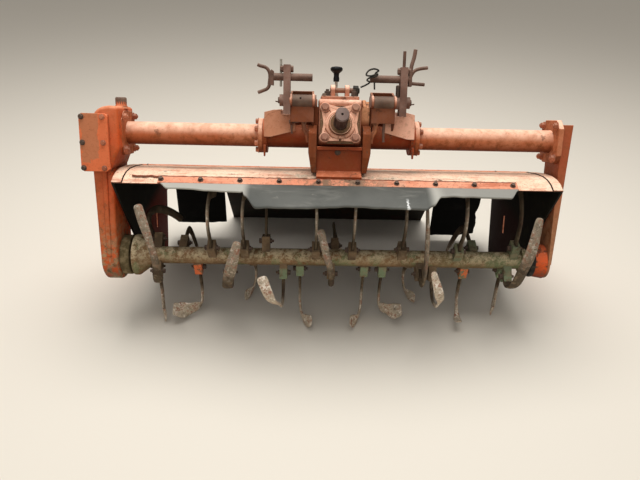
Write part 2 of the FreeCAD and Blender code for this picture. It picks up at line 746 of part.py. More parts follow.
def hitch_arm(bx1, ax0):
    bx0 = bx1 - sleeve_length
    ax1 = ax0 + arm_thick
    pieces = [
        plate_x([(sleeve_y - arm_half, sleeve_z - arm_drop), (sleeve_y + arm_half, sleeve_z - arm_drop),
                 (sleeve_y + arm_half - 1, arm_top), (sleeve_y - arm_half + 1, arm_top)], ax0, ax1),
        rod(pivot_radius, (bx0 - 3, sleeve_y, sleeve_z), (ax1 + 12, sleeve_y, sleeve_z)),
        rod(15, (bx0 - 6, sleeve_y, sleeve_z), (bx0, sleeve_y, sleeve_z)),
        rod(15, (ax1, sleeve_y, sleeve_z), (ax1 + 10, sleeve_y, sleeve_z)),
    ]
    if ax0 > bx1:
        pieces.append(rod(17, (bx1, sleeve_y, sleeve_z), (ax0, sleeve_y, sleeve_z)))
    return join(pieces).cut(rod(pin_radius, (ax0 - 1, sleeve_y, pin_z), (ax1 + 1, sleeve_y, pin_z)))


shapes["hitch_arm_right"] = hitch_arm(sleeve_end_right, arm_right)
shapes["hitch_arm_left"] = mirrored(hitch_arm(sleeve_end_left, arm_left))
out_left = arm_left + arm_thick
out_right = arm_right + arm_thick

# Hitch pins with a wire through each, and their welded grips
grip_left = out_left + grip_gap_left
grip_right = out_right + grip_gap_right
drop = rod(wire_radius, (-out_left - 7, sleeve_y, pin_z - 24), (-out_left - 7, sleeve_y, pin_z + 44))
clip_x = pin_inner + 9
clip = join([
    rod(wire_radius, (clip_x, sleeve_y, pin_z + 22), (clip_x, sleeve_y, pin_z - 26)),
    Part.makeTorus(16, wire_radius, V(clip_x, sleeve_y, pin_z), X),
    rod(wire_radius, (clip_x, sleeve_y - 2, pin_z - 16), (clip_x - 21, sleeve_y - 8, pin_z - 30)),
])
pin_right = rod(pin_radius, (pin_inner, sleeve_y, pin_z), (grip_right, sleeve_y, pin_z))
pin_left = rod(pin_radius, (-pin_inner, sleeve_y, pin_z), (-grip_left, sleeve_y, pin_z))
shapes["hitch_pin_right"] = pin_right.cut(clip)
shapes["hitch_pin_left"] = pin_left.cut(drop)
shapes["drop_pin_left"] = drop
shapes["spring_clip_right"] = clip
shapes["pin_fork_left"] = join([
    box(-grip_left - 8, -grip_left, sleeve_y - 15, sleeve_y + 15, pin_z - 24, pin_z + 18),
    rod(5, (-grip_left - 4, sleeve_y, pin_z + 14), (-grip_left - 40, sleeve_y, pin_z + 26)),
    rod(5, (-grip_left - 4, sleeve_y, pin_z - 20), (-grip_left - 40, sleeve_y, pin_z - 38)),
])
shapes["pin_handle_right"] = join([
    box(grip_right, grip_right + 8, sleeve_y - 15, sleeve_y + 15, pin_z - 20, pin_z + 22),
    rod(5, (grip_right + 4, sleeve_y, pin_z + 18), (grip_right + 44, sleeve_y, pin_z + 30)),
    rod(5, (grip_right + 4, sleeve_y, pin_z - 10), (grip_right + 38, sleeve_y, pin_z - 10)),
    rod(5, (grip_right + 4, sleeve_y + 6, pin_z + 18), (grip_right + 12, sleeve_y + 10, pin_z + 72)),
])
stop_x = out_right - arm_thick / 2
shapes["stop_pin_right"] = rod(stop_radius, (stop_x, sleeve_y, arm_top), (stop_x, sleeve_y, arm_top + 40))

# Lean everything back, stand it on the floor and centre it over the origin
placed = {}
for name, shape in shapes.items():
    leaned = shape.copy()
    leaned.rotate(V(0, 0, 0), X, -lean_deg)
    placed[name] = leaned
bounds = [shape.optimalBoundingBox(False) for shape in placed.values()]
mid_x = (min(b.XMin for b in bounds) + max(b.XMax for b in bounds)) / 2
mid_y = (min(b.YMin for b in bounds) + max(b.YMax for b in bounds)) / 2
low_z = min(b.ZMin for b in bounds)
for name, shape in placed.items():
    shape.translate(V(-mid_x, -mid_y, -low_z))
    shape.exportStep("parts/" + name + ".step")
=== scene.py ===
import json
import math

import bmesh
import bpy
from mathutils import Matrix, Vector, noise

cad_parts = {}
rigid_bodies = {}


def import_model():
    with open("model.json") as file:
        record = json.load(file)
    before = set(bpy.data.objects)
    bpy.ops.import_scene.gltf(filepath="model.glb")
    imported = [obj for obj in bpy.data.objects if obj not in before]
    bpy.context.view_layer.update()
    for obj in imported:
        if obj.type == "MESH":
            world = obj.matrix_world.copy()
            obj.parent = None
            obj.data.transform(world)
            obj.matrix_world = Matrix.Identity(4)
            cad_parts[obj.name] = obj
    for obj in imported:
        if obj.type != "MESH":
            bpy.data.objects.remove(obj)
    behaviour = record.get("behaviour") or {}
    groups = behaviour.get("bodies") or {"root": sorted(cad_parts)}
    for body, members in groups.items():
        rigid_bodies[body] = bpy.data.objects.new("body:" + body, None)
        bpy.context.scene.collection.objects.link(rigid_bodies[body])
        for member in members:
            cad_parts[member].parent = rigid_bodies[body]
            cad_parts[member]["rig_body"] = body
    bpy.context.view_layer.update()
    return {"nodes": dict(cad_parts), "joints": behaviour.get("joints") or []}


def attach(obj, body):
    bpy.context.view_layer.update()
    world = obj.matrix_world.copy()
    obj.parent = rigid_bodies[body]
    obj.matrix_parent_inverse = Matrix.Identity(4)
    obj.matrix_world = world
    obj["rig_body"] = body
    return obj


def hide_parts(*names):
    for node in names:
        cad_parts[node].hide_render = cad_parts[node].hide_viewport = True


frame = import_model()
nodes = frame["nodes"]

# Places. Pieces are drawn upright in millimetres about the rotor axis, then leaned back as parked.
LEAN = math.radians(18)
ROTOR_TURN = math.radians(-4.52)
pivots = {joint["name"]: Vector(joint["pos_m"]) for joint in frame["joints"]}
AXLE = pivots["rotor_spin"]
MILLIMETRES = Matrix.Scale(0.001, 4)
PARKED = Matrix.Translation(AXLE) @ Matrix.Rotation(-LEAN, 4, "X") @ MILLIMETRES
ON_ROTOR = Matrix.Translation(AXLE) @ Matrix.Rotation(ROTOR_TURN, 4, "X") @ MILLIMETRES
AS_IT_IS = Matrix.Identity(4)

SIDES = ((-1, "left"), (1, "right"))
HALF_WIDTH = 598
BEAM_HEIGHT = 341
FLANGE_THICK = 14
HEAD_IN = 13
CASE_LEFT = -638
CASE_RADIUS = 68
COVER_LEFT = -668
COVER_RIGHT = -595
COVER_LOW = BEAM_HEIGHT - 98
COVER_HIGH = COVER_LOW + 148
COVER_FACE = -97
JOINT_X = 205
GEAR_TOP = 440
LUG_Y = -20
LUG_Z = GEAR_TOP + 24
HOOD_HALF = 584
HOOD_TOP = 249
LIP_Y = -112
LIP_Z = 217
RAIL_Y = 126
RAIL_Z = 238
HINGE_Y = 458
HINGE_Z = 148
SLEEVE_Y = -72
SLEEVE_Z = 434
SLEEVE_LENGTH = 61
SLEEVE_END_LEFT = 130
SLEEVE_END_RIGHT = 142
ARM_LEFT = 130
ARM_RIGHT = 151
ARM_THICK = 18
GRIP_LEFT = 173
GRIP_RIGHT = 177
PIN_Z = 492
PIN_INNER = 74
BOARD_HALF = 380
FLAP_REACH = 558
FLAP_LEFT = -468
FLAP_WIDTH = 938
SLIT_Y = 300
SLIT_WIDE = 4
BEARING_X = 552
SOCKET_BOLT = 46
LEFT_FLANGE = HEAD_IN + FLANGE_THICK - HALF_WIDTH
RIGHT_FLANGE = HALF_WIDTH - FLANGE_THICK
SHAFT_LENGTH = 112
DOWN = Vector((0, math.sin(LEAN), -math.cos(LEAN)))
REAR = Vector((0, math.cos(LEAN), math.sin(LEAN)))
SHAFT_LIFT = math.radians(15.5)
SHAFT_OUT = Vector((0, -math.cos(SHAFT_LIFT), math.sin(SHAFT_LIFT)))
SHAFT_UP = Vector((0, math.sin(SHAFT_LIFT), math.cos(SHAFT_LIFT)))
CAP_FOOT = Vector((0, -64, 372))
RIGHT = Vector((1, 0, 0))
LEFT = -RIGHT
FRONT = Vector((0, -1, 0))
UP = Vector((0, 0, 1))


# Finishes
def tint(red, green, blue):
    """A colour given as it looks on a screen, 0 to 255, as the shader wants it."""
    shares = (c / 255 for c in (red, green, blue))
    return (*(c / 12.92 if c <= 0.04 else ((c + 0.055) / 1.055) ** 2.4 for c in shares), 1.0)


# How strongly the finishes shine
DULL = 0.22


class Value:
    """A number in a shader, so that a finish can be written as an expression."""

    def __init__(self, finish, socket):
        self.finish = finish
        self.socket = socket

    def maths(self, operation, *values):
        made = self.finish.node("ShaderNodeMath", {"operation": operation}, dict(enumerate(values)))
        return Value(self.finish, made.outputs[0])

    def __add__(self, other):
        return self.maths("ADD", self, other)

    def __radd__(self, other):
        return self.maths("ADD", other, self)

    def __sub__(self, other):
        return self.maths("SUBTRACT", self, other)

    def __rsub__(self, other):
        return self.maths("SUBTRACT", other, self)

    def __mul__(self, other):
        return self.maths("MULTIPLY", self, other)

    def __rmul__(self, other):
        return self.maths("MULTIPLY", other, self)

    def root(self):
        return self.maths("SQRT", self)

    def size(self):
        """The number without its sign."""
        return (self * self).root()

    def larger(self, other):
        return self.maths("MAXIMUM", self, other)

    def rise(self, low, high):
        """0 below low, 1 above high, smooth between."""
        settings = {"interpolation_type": "SMOOTHSTEP"}
        made = self.finish.node("ShaderNodeMapRange", settings, {0: self, 1: low, 2: high, 3: 0.0, 4: 1.0})
        return Value(self.finish, made.outputs[0])

    def fall(self, low, high):
        return 1 - self.rise(low, high)


class Finish:
    """One material, with the places and patterns that its colours are mixed from."""

    def __init__(self, name, slot, metallic=0.0):
        self.material = bpy.data.materials.new(name)
        self.material.use_nodes = True
        self.tree = self.material.node_tree
        self.slot = slot
        self.shader = self.tree.nodes["Principled BSDF"]
        self.shader.inputs["Metallic"].default_value = metallic
        self.shader.inputs["Specular IOR Level"].default_value = DULL
        spots = self.node("ShaderNodeTexCoord")
        self.spot = spots.outputs["Object"]
        from_axle = self.node("ShaderNodeVectorMath", {"operation": "SUBTRACT"}, {0: self.spot, 1: AXLE})
        split = self.node("ShaderNodeSeparateXYZ", values={0: from_axle.outputs[0]})
        self.across, self.back, self.above = (Value(self, split.outputs[k]) for k in range(3))
        faces = self.node("ShaderNodeSeparateXYZ", values={0: spots.outputs["Normal"]})
        turned = (Value(self, faces.outputs[k]) for k in range(3))
        self.facing_right, self.facing_back, self.facing_up = turned

    def node(self, kind, settings=None, values=None):
        made = self.tree.nodes.new(kind)
        for key, setting in (settings or {}).items():
            setattr(made, key, setting)
        for key, value in (values or {}).items():
            if isinstance(value, Value):
                value = value.socket
            if isinstance(value, bpy.types.NodeSocket):
                self.tree.links.new(value, made.inputs[key])
            else:
                made.inputs[key].default_value = value
        return made

    def noise(self, scale, detail=4.0, rough=0.55, stretch=None, warp=0.0):
        spot = self.spot
        if stretch:
            spot = self.node("ShaderNodeMapping", values={"Vector": spot, "Scale": stretch}).outputs[0]
        values = {"Vector": spot, "Scale": scale, "Detail": detail, "Roughness": rough, "Distortion": warp}
        return Value(self, self.node("ShaderNodeTexNoise", values=values).outputs[0])

    def edges(self, width):
        """Where the surface turns a corner."""
        soft = self.node("ShaderNodeBevel", {"samples": 4}, {"Radius": width}).outputs[0]
        plain = self.node("ShaderNodeNewGeometry").outputs["Normal"]
        dot = self.node("ShaderNodeVectorMath", {"operation": "DOT_PRODUCT"}, {0: soft, 1: plain})
        return (1 - Value(self, dot.outputs["Value"])).rise(0.01, 0.16)

    def mix(self, mask, low, high):
        """One colour where the mask is 0 and the other where it is 1; a plain colour is given as for tint."""
        low, high = (tint(*c) if isinstance(c, tuple) else c for c in (low, high))
        made = self.node("ShaderNodeMix", {"data_type": "RGBA"}, {0: mask, 6: low, 7: high})
        return Value(self, made.outputs[2])

    def cover(self, colour, *layers):
        """Layers of (mask, colour) put on one after the other."""
        for mask, over in layers:
            colour = self.mix(mask, colour, over)
        return colour

    def done(self, colour, roughness, height=None, depth=0.001, strength=0.6):
        self.feed("Base Color", colour)
        self.feed("Roughness", roughness)
        if height is not None:
            values = {"Strength": strength, "Distance": depth, "Height": height}
            self.feed("Normal", Value(self, self.node("ShaderNodeBump", values=values).outputs[0]))
        return self

    def feed(self, name, value):
        if isinstance(value, Value):
            self.tree.links.new(value.socket, self.shader.inputs[name])
        else:
            self.shader.inputs[name].default_value = value


SOIL = (150, 132, 106)
RUST = (112, 66, 42)
DARK_RUST = (66, 46, 38)


def orange_paint(name, fresh, worn, dust, dusty, rusty, soiled, brown, shade=(92, 32, 6), patch=None,
                 over=(190, 116, 78)):
    """Old orange paint: bleached where it faces up, brown at the sides, painted shade below, soiled lower
    down.

    The four shares say how much dust, rust, soil and brown stain it has.
    The patch says where another colour lies over it; on the cheeks it is a painted highlight.
    """
    f = Finish(name, "paint_red")
    broad = f.noise(7, 3).rise(0.36, 0.64)
    grain = f.noise(95, 6, 0.7)
    mottle = f.noise(52, 9, 0.78, warp=0.15)
    specks = f.noise(230, 5, 0.7)
    blotch = f.noise(26, 9, 0.72)
    runs = f.noise(16, 5, 0.6, stretch=(2.6, 2.6, 0.35))
    up = f.facing_up.rise(0.15, 0.95)
    low = f.above.fall(-0.15, 0.12)
    edge = f.edges(0.004)
    chip = (blotch + grain * 0.1).rise(0.7 - 0.1 * rusty, 0.73 - 0.1 * rusty)
    worn_edge = edge * (grain + blotch * 0.5).rise(0.64, 0.78) * rusty
    soil = (blotch * 0.5 + mottle * 0.5 + low * 0.14).rise(0.54, 0.64) * soiled * (0.3 + low)
    colour = f.mix(broad, fresh, worn)
    if patch:
        colour = f.mix(patch(f), colour, over)
    colour = f.cover(
        colour,
        (up * dusty * (0.62 + 0.5 * f.noise(31, 5).rise(0.3, 0.7)), dust),
        (f.facing_up.fall(0.0, 0.6) * mottle.rise(0.44, 0.6) * brown, (138, 74, 34)),
        (runs.rise(0.5, 0.72) * brown * 0.4, (150, 80, 44)),
        (grain.rise(0.5, 0.7) * 0.3, (140, 68, 34)),
        # Painted shade: darker the more a face turns down
        (f.facing_up.fall(-0.85, 0.28) * 0.92, shade),
        (soil, f.mix(mottle.rise(0.4, 0.6), SOIL, (96, 88, 58))),
        (chip * (0.3 + rusty * 0.6), f.mix(grain.rise(0.4, 0.6), RUST, DARK_RUST)),
        (worn_edge, DARK_RUST),
        (specks.rise(0.6, 0.7) * 0.5, (74, 36, 18)),
        (specks.fall(0.32, 0.4) * up * 0.5, (246, 206, 176)),
    )
    height = grain * 0.3 + specks * 0.2 - chip * 0.6 + soil * 0.5
    return f.done(colour, 0.5 + 0.3 * grain.rise(0.3, 0.7) + 0.12 * up, height, 0.0009, 0.55)


def faded_patch(f):
    """The tan patch that fills most of the case cover, its edge ragged on the right and below."""
    ragged = (f.noise(38, 6, 0.6) - 0.5) * 0.03
    right = f.across + ragged
    above = f.above + ragged
    return right.fall(-0.621, -0.618) * above.rise(0.292, 0.296).larger(
        right.fall(-0.642, -0.639) * above.rise(0.281, 0.284)) * right.rise(-0.667, -0.663)


def rusty_steel(name, slot, light, dark, warm, shine=0.0):
    """Bare steel gone brown and violet, polished a little where hands and chains rub it."""
    f = Finish(name, slot, metallic=shine)
    broad = f.noise(14, 4).rise(0.35, 0.65)
    grain = f.noise(120, 7, 0.72)
    pits = f.noise(260, 4, 0.7)
    up = f.facing_up.rise(0.1, 0.9)
    colour = f.cover(
        f.mix(broad, dark, light),
        (grain.rise(0.46, 0.7) * 0.5, warm),
        (up * 0.35, (150, 128, 112)),
        (pits.rise(0.6, 0.72) * 0.6, (50, 36, 30)),
        (f.edges(0.003) * grain.rise(0.4, 0.7) * 0.4, (156, 132, 116)),
    )
    return f.done(colour, 0.62 + 0.25 * grain, grain * 0.5 - pits.rise(0.55, 0.75) * 0.5, 0.0008, 0.6)


def rotor_steel():
    """The rotor tube: rust under dry soil, with the last green paint in patches; its crust paler on top as
    painted light, the tube darker underneath as painted shade.
    """
    f = Finish("rotor_rust", "steel_rust")
    broad = f.noise(9, 4).rise(0.4, 0.62)
    green = f.noise(15, 7, 0.7, warp=0.6).rise(0.5, 0.6)
    crust = f.noise(64, 9, 0.78, warp=0.3)
    sand = f.noise(230, 5, 0.75)
    lit = f.facing_up.rise(-0.4, 0.8)
    colour = f.cover(
        f.mix(broad, (116, 88, 60), (138, 108, 76)),
        (green * 0.7, (112, 126, 88)),
        (f.across.rise(0.24, 0.4) * f.noise(22, 6, 0.7).rise(0.34, 0.56) * 0.6, (112, 122, 86)),
        (crust.rise(0.44, 0.6) * 0.6, (150, 128, 96)),
        # Painted light: the crust paler on the faces turned up
        (lit * crust.rise(0.4, 0.58) * 0.8, (208, 190, 154)),
        (f.noise(36, 6, 0.7).rise(0.56, 0.66) * 0.6, (124, 70, 36)),
        (sand.rise(0.56, 0.66) * 0.7, (58, 42, 26)),
        # Painted shade under the tube
        (f.facing_up.fall(-0.9, -0.1) * 0.5, (56, 42, 26)),
    )
    return f.done(colour, 0.9, crust * 0.8 + sand * 0.35, 0.0024, 0.85)


def tine_steel(name, light):
    """Worn tines: dark rusty bars, their wings pale with dried soil and scored by stones."""
    f = Finish(name, "steel_rust")
    reach = (f.back * f.back + f.above * f.above).root()
    shown = f.back.fall(-0.09, -0.03).larger(f.above.fall(-0.09, -0.04))
    wing = (reach + f.noise(18, 4) * 0.05).rise(0.13, 0.19) * shown
    grain = f.noise(130, 7, 0.75, warp=0.3)
    crust = f.noise(46, 7, 0.72, warp=0.6)
    sand = f.noise(300, 4, 0.7)
    colour = f.cover(
        f.mix(f.noise(24, 4).rise(0.35, 0.65), (62, 50, 38), (86, 74, 56)),
        (crust.rise(0.5, 0.64) * (0.3 + 0.5 * shown), (134, 118, 94)),
        (grain.rise(0.5, 0.66) * 0.5, (98, 60, 38)),
        (wing * crust.rise(0.26, 0.5) * light, (200, 184, 160)),
        (wing * (grain * 0.5 + crust * 0.5).rise(0.5, 0.56) * 0.8, (140, 84, 62)),
        (wing * f.noise(100, 5, 0.6).rise(0.55, 0.62) * light, (228, 216, 198)),
        (wing * sand.fall(0.36, 0.44) * 0.5, (84, 54, 44)),
        (sand.rise(0.58, 0.7) * 0.5, (52, 42, 34)),
        (f.edges(0.003) * grain.rise(0.35, 0.6) * 0.35, (164, 146, 122)),
    )
    return f.done(colour, 0.84, grain * 0.6 + crust * 0.5 + sand * 0.2, 0.0018, 0.8)


def holder_paint():
    """Sockets that keep some green and orange paint under the soil."""
    f = Finish("holder_paint", "holder_green")
    grain = f.noise(110, 7, 0.72)
    crust = f.noise(38, 7, 0.7, warp=0.6)
    under = f.above.fall(-0.03, -0.02)

    def near(*spots):
        """Near any of these places along the rotor, below it."""
        mask = None
        for spot in spots:
            here = (f.across - spot).size().fall(0.02, 0.024)
            mask = here if mask is None else mask.larger(here)
        return mask * under

    green = near(-0.147, -0.1, 0.086, 0.139, 0.49).larger(f.across.rise(0.3, 0.33) * 0.6)
    colour = f.cover(
        f.mix(f.noise(20, 4).rise(0.4, 0.6), (92, 76, 58), (120, 98, 74)),
        (green * f.noise(50, 5, 0.7).rise(0.36, 0.5) * 0.85, (124, 142, 110)),
        (crust.rise(0.5, 0.64) * 0.6, (146, 128, 102)),
        (near(-0.394, 0.376) * f.noise(60, 5, 0.7).rise(0.44, 0.52) * 0.85, (226, 112, 64)),
        (grain.rise(0.54, 0.68) * 0.55, (96, 62, 44)),
        (f.edges(0.003) * grain.rise(0.4, 0.7) * 0.5, (150, 138, 114)),
    )
    return f.done(colour, 0.88, grain * 0.5 + crust * 0.6, 0.0016, 0.8)


def hood_paint(name, slot, chalk=1.0):
    """Hood plates: chalky salmon paint above with red-brown streaks, near black on the inner side and below
    from soil and painted shade, with a band of painted light low at the back.
    """
    f = Finish(name, slot)
    broad = f.noise(6, 4).rise(0.36, 0.64)
    grain = f.noise(90, 7, 0.74)
    blotch = f.noise(24, 9, 0.72)
    streaks = f.noise(30, 8, 0.72, stretch=(0.22, 1.0, 1.0))
    specks = f.noise(240, 4, 0.68)
    up = f.facing_up.rise(0.2, 0.95)
    inner = (f.across * f.facing_right).fall(-0.06, -0.01).larger(f.facing_up.fall(-0.3, -0.12))
    chip = (blotch + grain * 0.1).rise(0.69, 0.71)
    near_gear = f.across.size().fall(0.04, 0.2) * f.back.fall(-0.02, 0.05)
    colour = f.cover(
        f.mix(broad, (214, 122, 86), (224, 144, 110)),
        (up * (0.7 + 0.3 * f.noise(27, 7, 0.6).rise(0.35, 0.65)) * chalk, (250, 214, 184)),
        (up * blotch.rise(0.52, 0.62) * 0.8 * chalk, (232, 214, 188)),
        (up * f.noise(60, 8, 0.75).rise(0.58, 0.67) * 0.6 * chalk, (158, 118, 88)),
        (streaks.rise(0.52, 0.64) * 0.6, (176, 92, 62)),
        (grain.rise(0.5, 0.7) * 0.4, (168, 92, 64)),
        (near_gear * (blotch + grain * 0.2).rise(0.54, 0.66) * 0.8, (110, 96, 76)),
        (chip * 0.8, f.mix(grain.rise(0.4, 0.6), (128, 84, 62), (74, 50, 38))),
        (specks.rise(0.58, 0.66) * 0.75, (92, 54, 36)),
        (f.edges(0.004) * grain.rise(0.42, 0.6) * 0.7, (96, 54, 36)),
        # Inner side and undersides near black: partly soil, partly painted shade under the hood
        (inner, f.cover(
            f.mix(f.across.size().rise(0.5, 0.585), (40, 14, 6), (20, 17, 8)),
            # Painted light: the red paint showing low at the back, brighter on the left than on the right
            (f.back.rise(0.13, 0.2) * f.above.fall(0.0, 0.06) * 0.9,
             f.mix(f.across.rise(-0.1, 0.1), (124, 34, 14), (48, 8, 4))),
            (blotch.rise(0.52, 0.66) * 0.4, (50, 44, 26)),
            (grain.rise(0.58, 0.7) * 0.4, (70, 30, 16)))),
    )
    return f.done(colour, 0.62 + 0.25 * grain, grain * 0.4 - chip * 0.6 + specks * 0.2, 0.0009, 0.6)


def board_paint():
    """The rear board: more rust than paint, caked with soil below, its inner face near black as painted
    shade.
    """
    f = Finish("board_rust", "paint_red")
    grain = f.noise(80, 7, 0.72)
    blotch = f.noise(15, 8, 0.7, warp=0.6)
    low = f.above.fall(-0.2, 0.05)
    inside = f.facing_back.fall(-0.4, 0.0)
    colour = f.cover(
        f.mix(blotch.rise(0.4, 0.58), (176, 84, 52), (120, 78, 56)),
        (grain.rise(0.5, 0.66) * 0.5, (92, 58, 42)),
        ((low + inside * 0.7) * blotch.rise(0.34, 0.56) * 0.8, (104, 90, 68)),
        # The inner face, turned to the rotor, near black: painted shade under the hood
        (inside * 0.95, f.mix(grain.rise(0.45, 0.65), (8, 6, 3), (22, 17, 9))),
        (f.edges(0.004) * 0.4, (90, 66, 50)),
    )
    return f.done(colour, 0.82, grain * 0.5 + blotch * 0.5, 0.0015, 0.7)


def rubber(name, pale, dark, dusty=0.5, rough=0.44):
    """Conveyor rubber: dull, with painted sheen where it bends to the light and painted shade where it hangs
    steeper, dusty, scuffed and stained.
    """
    f = Finish(name, "rubber")
    broad = f.noise(5, 4).rise(0.38, 0.62)
    grain = f.noise(170, 6, 0.7)
    smears = f.noise(10, 7, 0.62, stretch=(0.7, 2.0, 2.0), warp=0.5)
    scuffs = f.noise(34, 8, 0.75, warp=0.8)
    middle = f.across.rise(-0.252, -0.226) * f.across.fall(0.222, 0.25)
    off_streak = f.across - 0.172 + (grain - 0.5) * 0.02
    streak = off_streak.size().fall(0.001, 0.004)
    streak = streak * f.above.rise(0.217, 0.221) * f.above.fall(0.23, 0.236)
    colour = f.cover(
        # Pale at the sides, dark in the middle and on the right: partly the rubber's own tone, partly painted
        # sheen and painted shade
        f.mix((middle * 0.9 + broad * 0.1).larger(f.across.rise(0.24, 0.28) * 0.45), pale, dark),
        (smears.rise(0.5, 0.7) * dusty, (176, 172, 162)),
        (scuffs.rise(0.62, 0.7) * dusty, (190, 182, 166)),
        (streak * dusty * 4, (236, 236, 232)),
        (grain.rise(0.6, 0.72) * 0.35, (58, 58, 54)),
        (f.edges(0.003) * 0.35, (170, 164, 150)),
    )
    return f.done(colour, rough + 0.3 * smears, grain * 0.25 + scuffs * 0.2, 0.0006, 0.4)


def plain_finish(name, slot, colour, over, roughness, scale=90, metallic=0.0, depth=0.0004):
    f = Finish(name, slot, metallic)
    grain = f.noise(scale, 6, 0.65)
    return f.done(f.mix(grain.rise(0.42, 0.66), colour, over), roughness + 0.2 * grain, grain, depth, 0.4)


PAINT = orange_paint("orange_paint", (186, 98, 56), (196, 122, 84), (246, 196, 166),
                     0.95, 0.35, 0.25, 0.75, (84, 32, 6))
CASE = orange_paint("case_paint", (206, 84, 34), (192, 92, 46), (234, 162, 122),
                    0.7, 0.4, 1.0, 0.45, (104, 38, 8),
                    lambda f: f.above.fall(0.0, 0.16) * f.noise(60, 8, 0.75).rise(0.46, 0.54) * 0.85,
                    (156, 144, 108))
COVER = orange_paint("cover_paint", (226, 114, 66), (220, 112, 68), (236, 160, 122),
                     0.3, 0.15, 0.1, 0.05, (120, 50, 16), faded_patch)
GEAR = orange_paint("gear_paint", (200, 132, 102), (168, 106, 78), (250, 196, 168),
                    1.0, 0.4, 0.25, 0.4, (92, 32, 6),
                    lambda f: f.above.fall(0.33, 0.36) * 0.85, (118, 62, 38))
# Darker than the gear paint as painted shade under the sleeves
BRACKET_PAINT_AND_SHADE = orange_paint("bracket_paint_and_shade", (132, 74, 48), (118, 70, 48), (206, 150, 120),
                       0.6, 0.5, 0.35, 0.7, (60, 26, 8))
CAP = orange_paint("cap_paint", (236, 176, 146), (206, 144, 112), (250, 200, 172),
                   0.8, 0.35, 0.2, 0.3)
RECESS = orange_paint("recess_paint", (104, 80, 54), (92, 66, 42), (136, 104, 74),
                      0.4, 0.6, 0.6, 0.6)
SHIELD = orange_paint("shield_paint", (206, 136, 98), (188, 118, 80), (236, 190, 164),
                      0.6, 0.25, 0.12, 0.3)
# The right shield's paler copy of the shield paint is painted light
SHIELD_RIGHT_PAINT_AND_LIGHT = orange_paint("shield_right_painted_light", (248, 186, 156), (232, 164, 130),
                            (250, 208, 182), 0.6, 0.25, 0.12, 0.25)
# Deep orange darkened further as painted shade, for parts that sit in shadow
DARK_ORANGE_AND_SHADE = orange_paint("pedestal_paint_and_shade", (150, 54, 12), (136, 58, 20), (228, 136, 96),
                           0.75, 0.5, 0.35, 0.5, (64, 18, 2))
# Cheeks: a dark base as painted shade beside the gear housing, and a patch on the right cheek's upper part as
# a painted highlight
CHEEK_PAINT_LIGHT_AND_SHADE = orange_paint("cheek_painted_light_and_shade", (128, 56, 14), (102, 50, 20), (160, 94, 60),
                     0.3, 0.6, 0.5, 0.7, (50, 18, 4),
                     lambda f: f.above.rise(0.37, 0.39) * f.across.rise(0.0, 0.01), (226, 160, 116))
PLATE = orange_paint("plate_paint", (168, 74, 38), (156, 78, 44), (232, 164, 128),
                     0.7, 0.4, 0.5, 0.6, (84, 32, 8),
                     lambda f: f.above.fall(0.12, 0.3) * 0.55, (184, 146, 106))
BEARING = orange_paint("bearing_paint", (232, 92, 34), (190, 78, 38), (206, 110, 70),
                       0.5, 0.9, 0.45, 0.6, (70, 26, 8))
HOOD = hood_paint("hood_paint", "paint_faded")
HOOD_END = hood_paint("hood_end_paint", "paint_red", 0.6)
LIP = hood_paint("lip_paint", "paint_faded", 0.2)
BOARD = board_paint()
ARM = rusty_steel("arm_rust", "paint_rust", (140, 108, 94), (98, 68, 56), (126, 78, 58))
PIN = rusty_steel("pin_rust", "paint_rust", (116, 86, 72), (76, 54, 44), (106, 62, 44))
SHAFT = rusty_steel("shaft_steel", "steel_bright", (76, 56, 50), (46, 32, 28), (66, 42, 34), 0.2)
BOLT = rusty_steel("bolt_rust", "paint_rust", (150, 128, 108), (96, 78, 64), (136, 84, 58))
DARK_BOLT = rusty_steel("dark_bolt", "paint_rust", (86, 70, 58), (54, 44, 38), (96, 60, 42))
ROTOR = rotor_steel()
TINE = tine_steel("tine_rust", 0.85)
HOOK = tine_steel("hook_rust", 0.45)
LEAF = tine_steel("leaf_rust", 0.95)
HOLDER = holder_paint()
SLEEVE = rusty_steel("sleeve_rust", "paint_rust", (128, 106, 90), (92, 70, 58), (120, 76, 54))
SCREW = rusty_steel("lip_screw", "paint_rust", (62, 40, 30), (40, 26, 20), (74, 42, 28))
EAR_BOLT = rusty_steel("ear_bolt", "paint_red", (176, 124, 100), (140, 86, 66), (150, 84, 58))
BOSS = plain_finish("boss_soil", "steel_rust", (84, 72, 46), (128, 112, 82), 0.75, 60, 0.0, 0.0012)
# Its pale and dark colours hold painted sheen and painted shade as well as the rubber's tone
FLAP = rubber("flap_rubber", (172, 169, 159), (74, 75, 70), 0.2)
# Black rubber darkened further as painted shade under the hood
REAR_FLAP = rubber("rear_flap_rubber", (6, 5, 3), (6, 5, 3), 0.02, 0.7)
SEAL = plain_finish("seal_black", "rubber", (26, 24, 20), (60, 54, 44), 0.55)
KNOB = plain_finish("knob_black", "knob", (6, 6, 6), (18, 17, 16), 0.42, 40)
STEM = plain_finish("stem_steel", "steel_bright", (150, 142, 128), (186, 180, 166), 0.35, 120, 0.6)
NUT = rusty_steel("painted_nut", "paint_red", (198, 122, 88), (150, 84, 58), (140, 76, 48))
RAIL = hood_paint("rail_paint", "paint_faded", 0.6)
RIDGE = plain_finish("ridge_rust", "paint_faded", (128, 70, 48), (64, 36, 24), 0.75, 140)
STRAP = rusty_steel("strap_rust", "paint_rust", (190, 116, 74), (120, 62, 34), (170, 86, 48))
CROSS_PIN = rusty_steel("cross_pin_rust", "paint_rust", (150, 104, 80), (110, 72, 54), (130, 76, 50))
SHAFT_END = rusty_steel("shaft_end_steel", "steel_bright", (138, 118, 112), (112, 94, 90), (110, 84, 76), 0.1)
# Dark seams, and dark fills standing for the shaded insides of holes and slots as painted shade
GAP = plain_finish("seam_dark_and_hole_shade", "paint_rust", (30, 20, 14), (52, 34, 24), 0.8)


# Making and placing pieces
# Corners closer than this, in metres, become one
MERGE = 0.00001


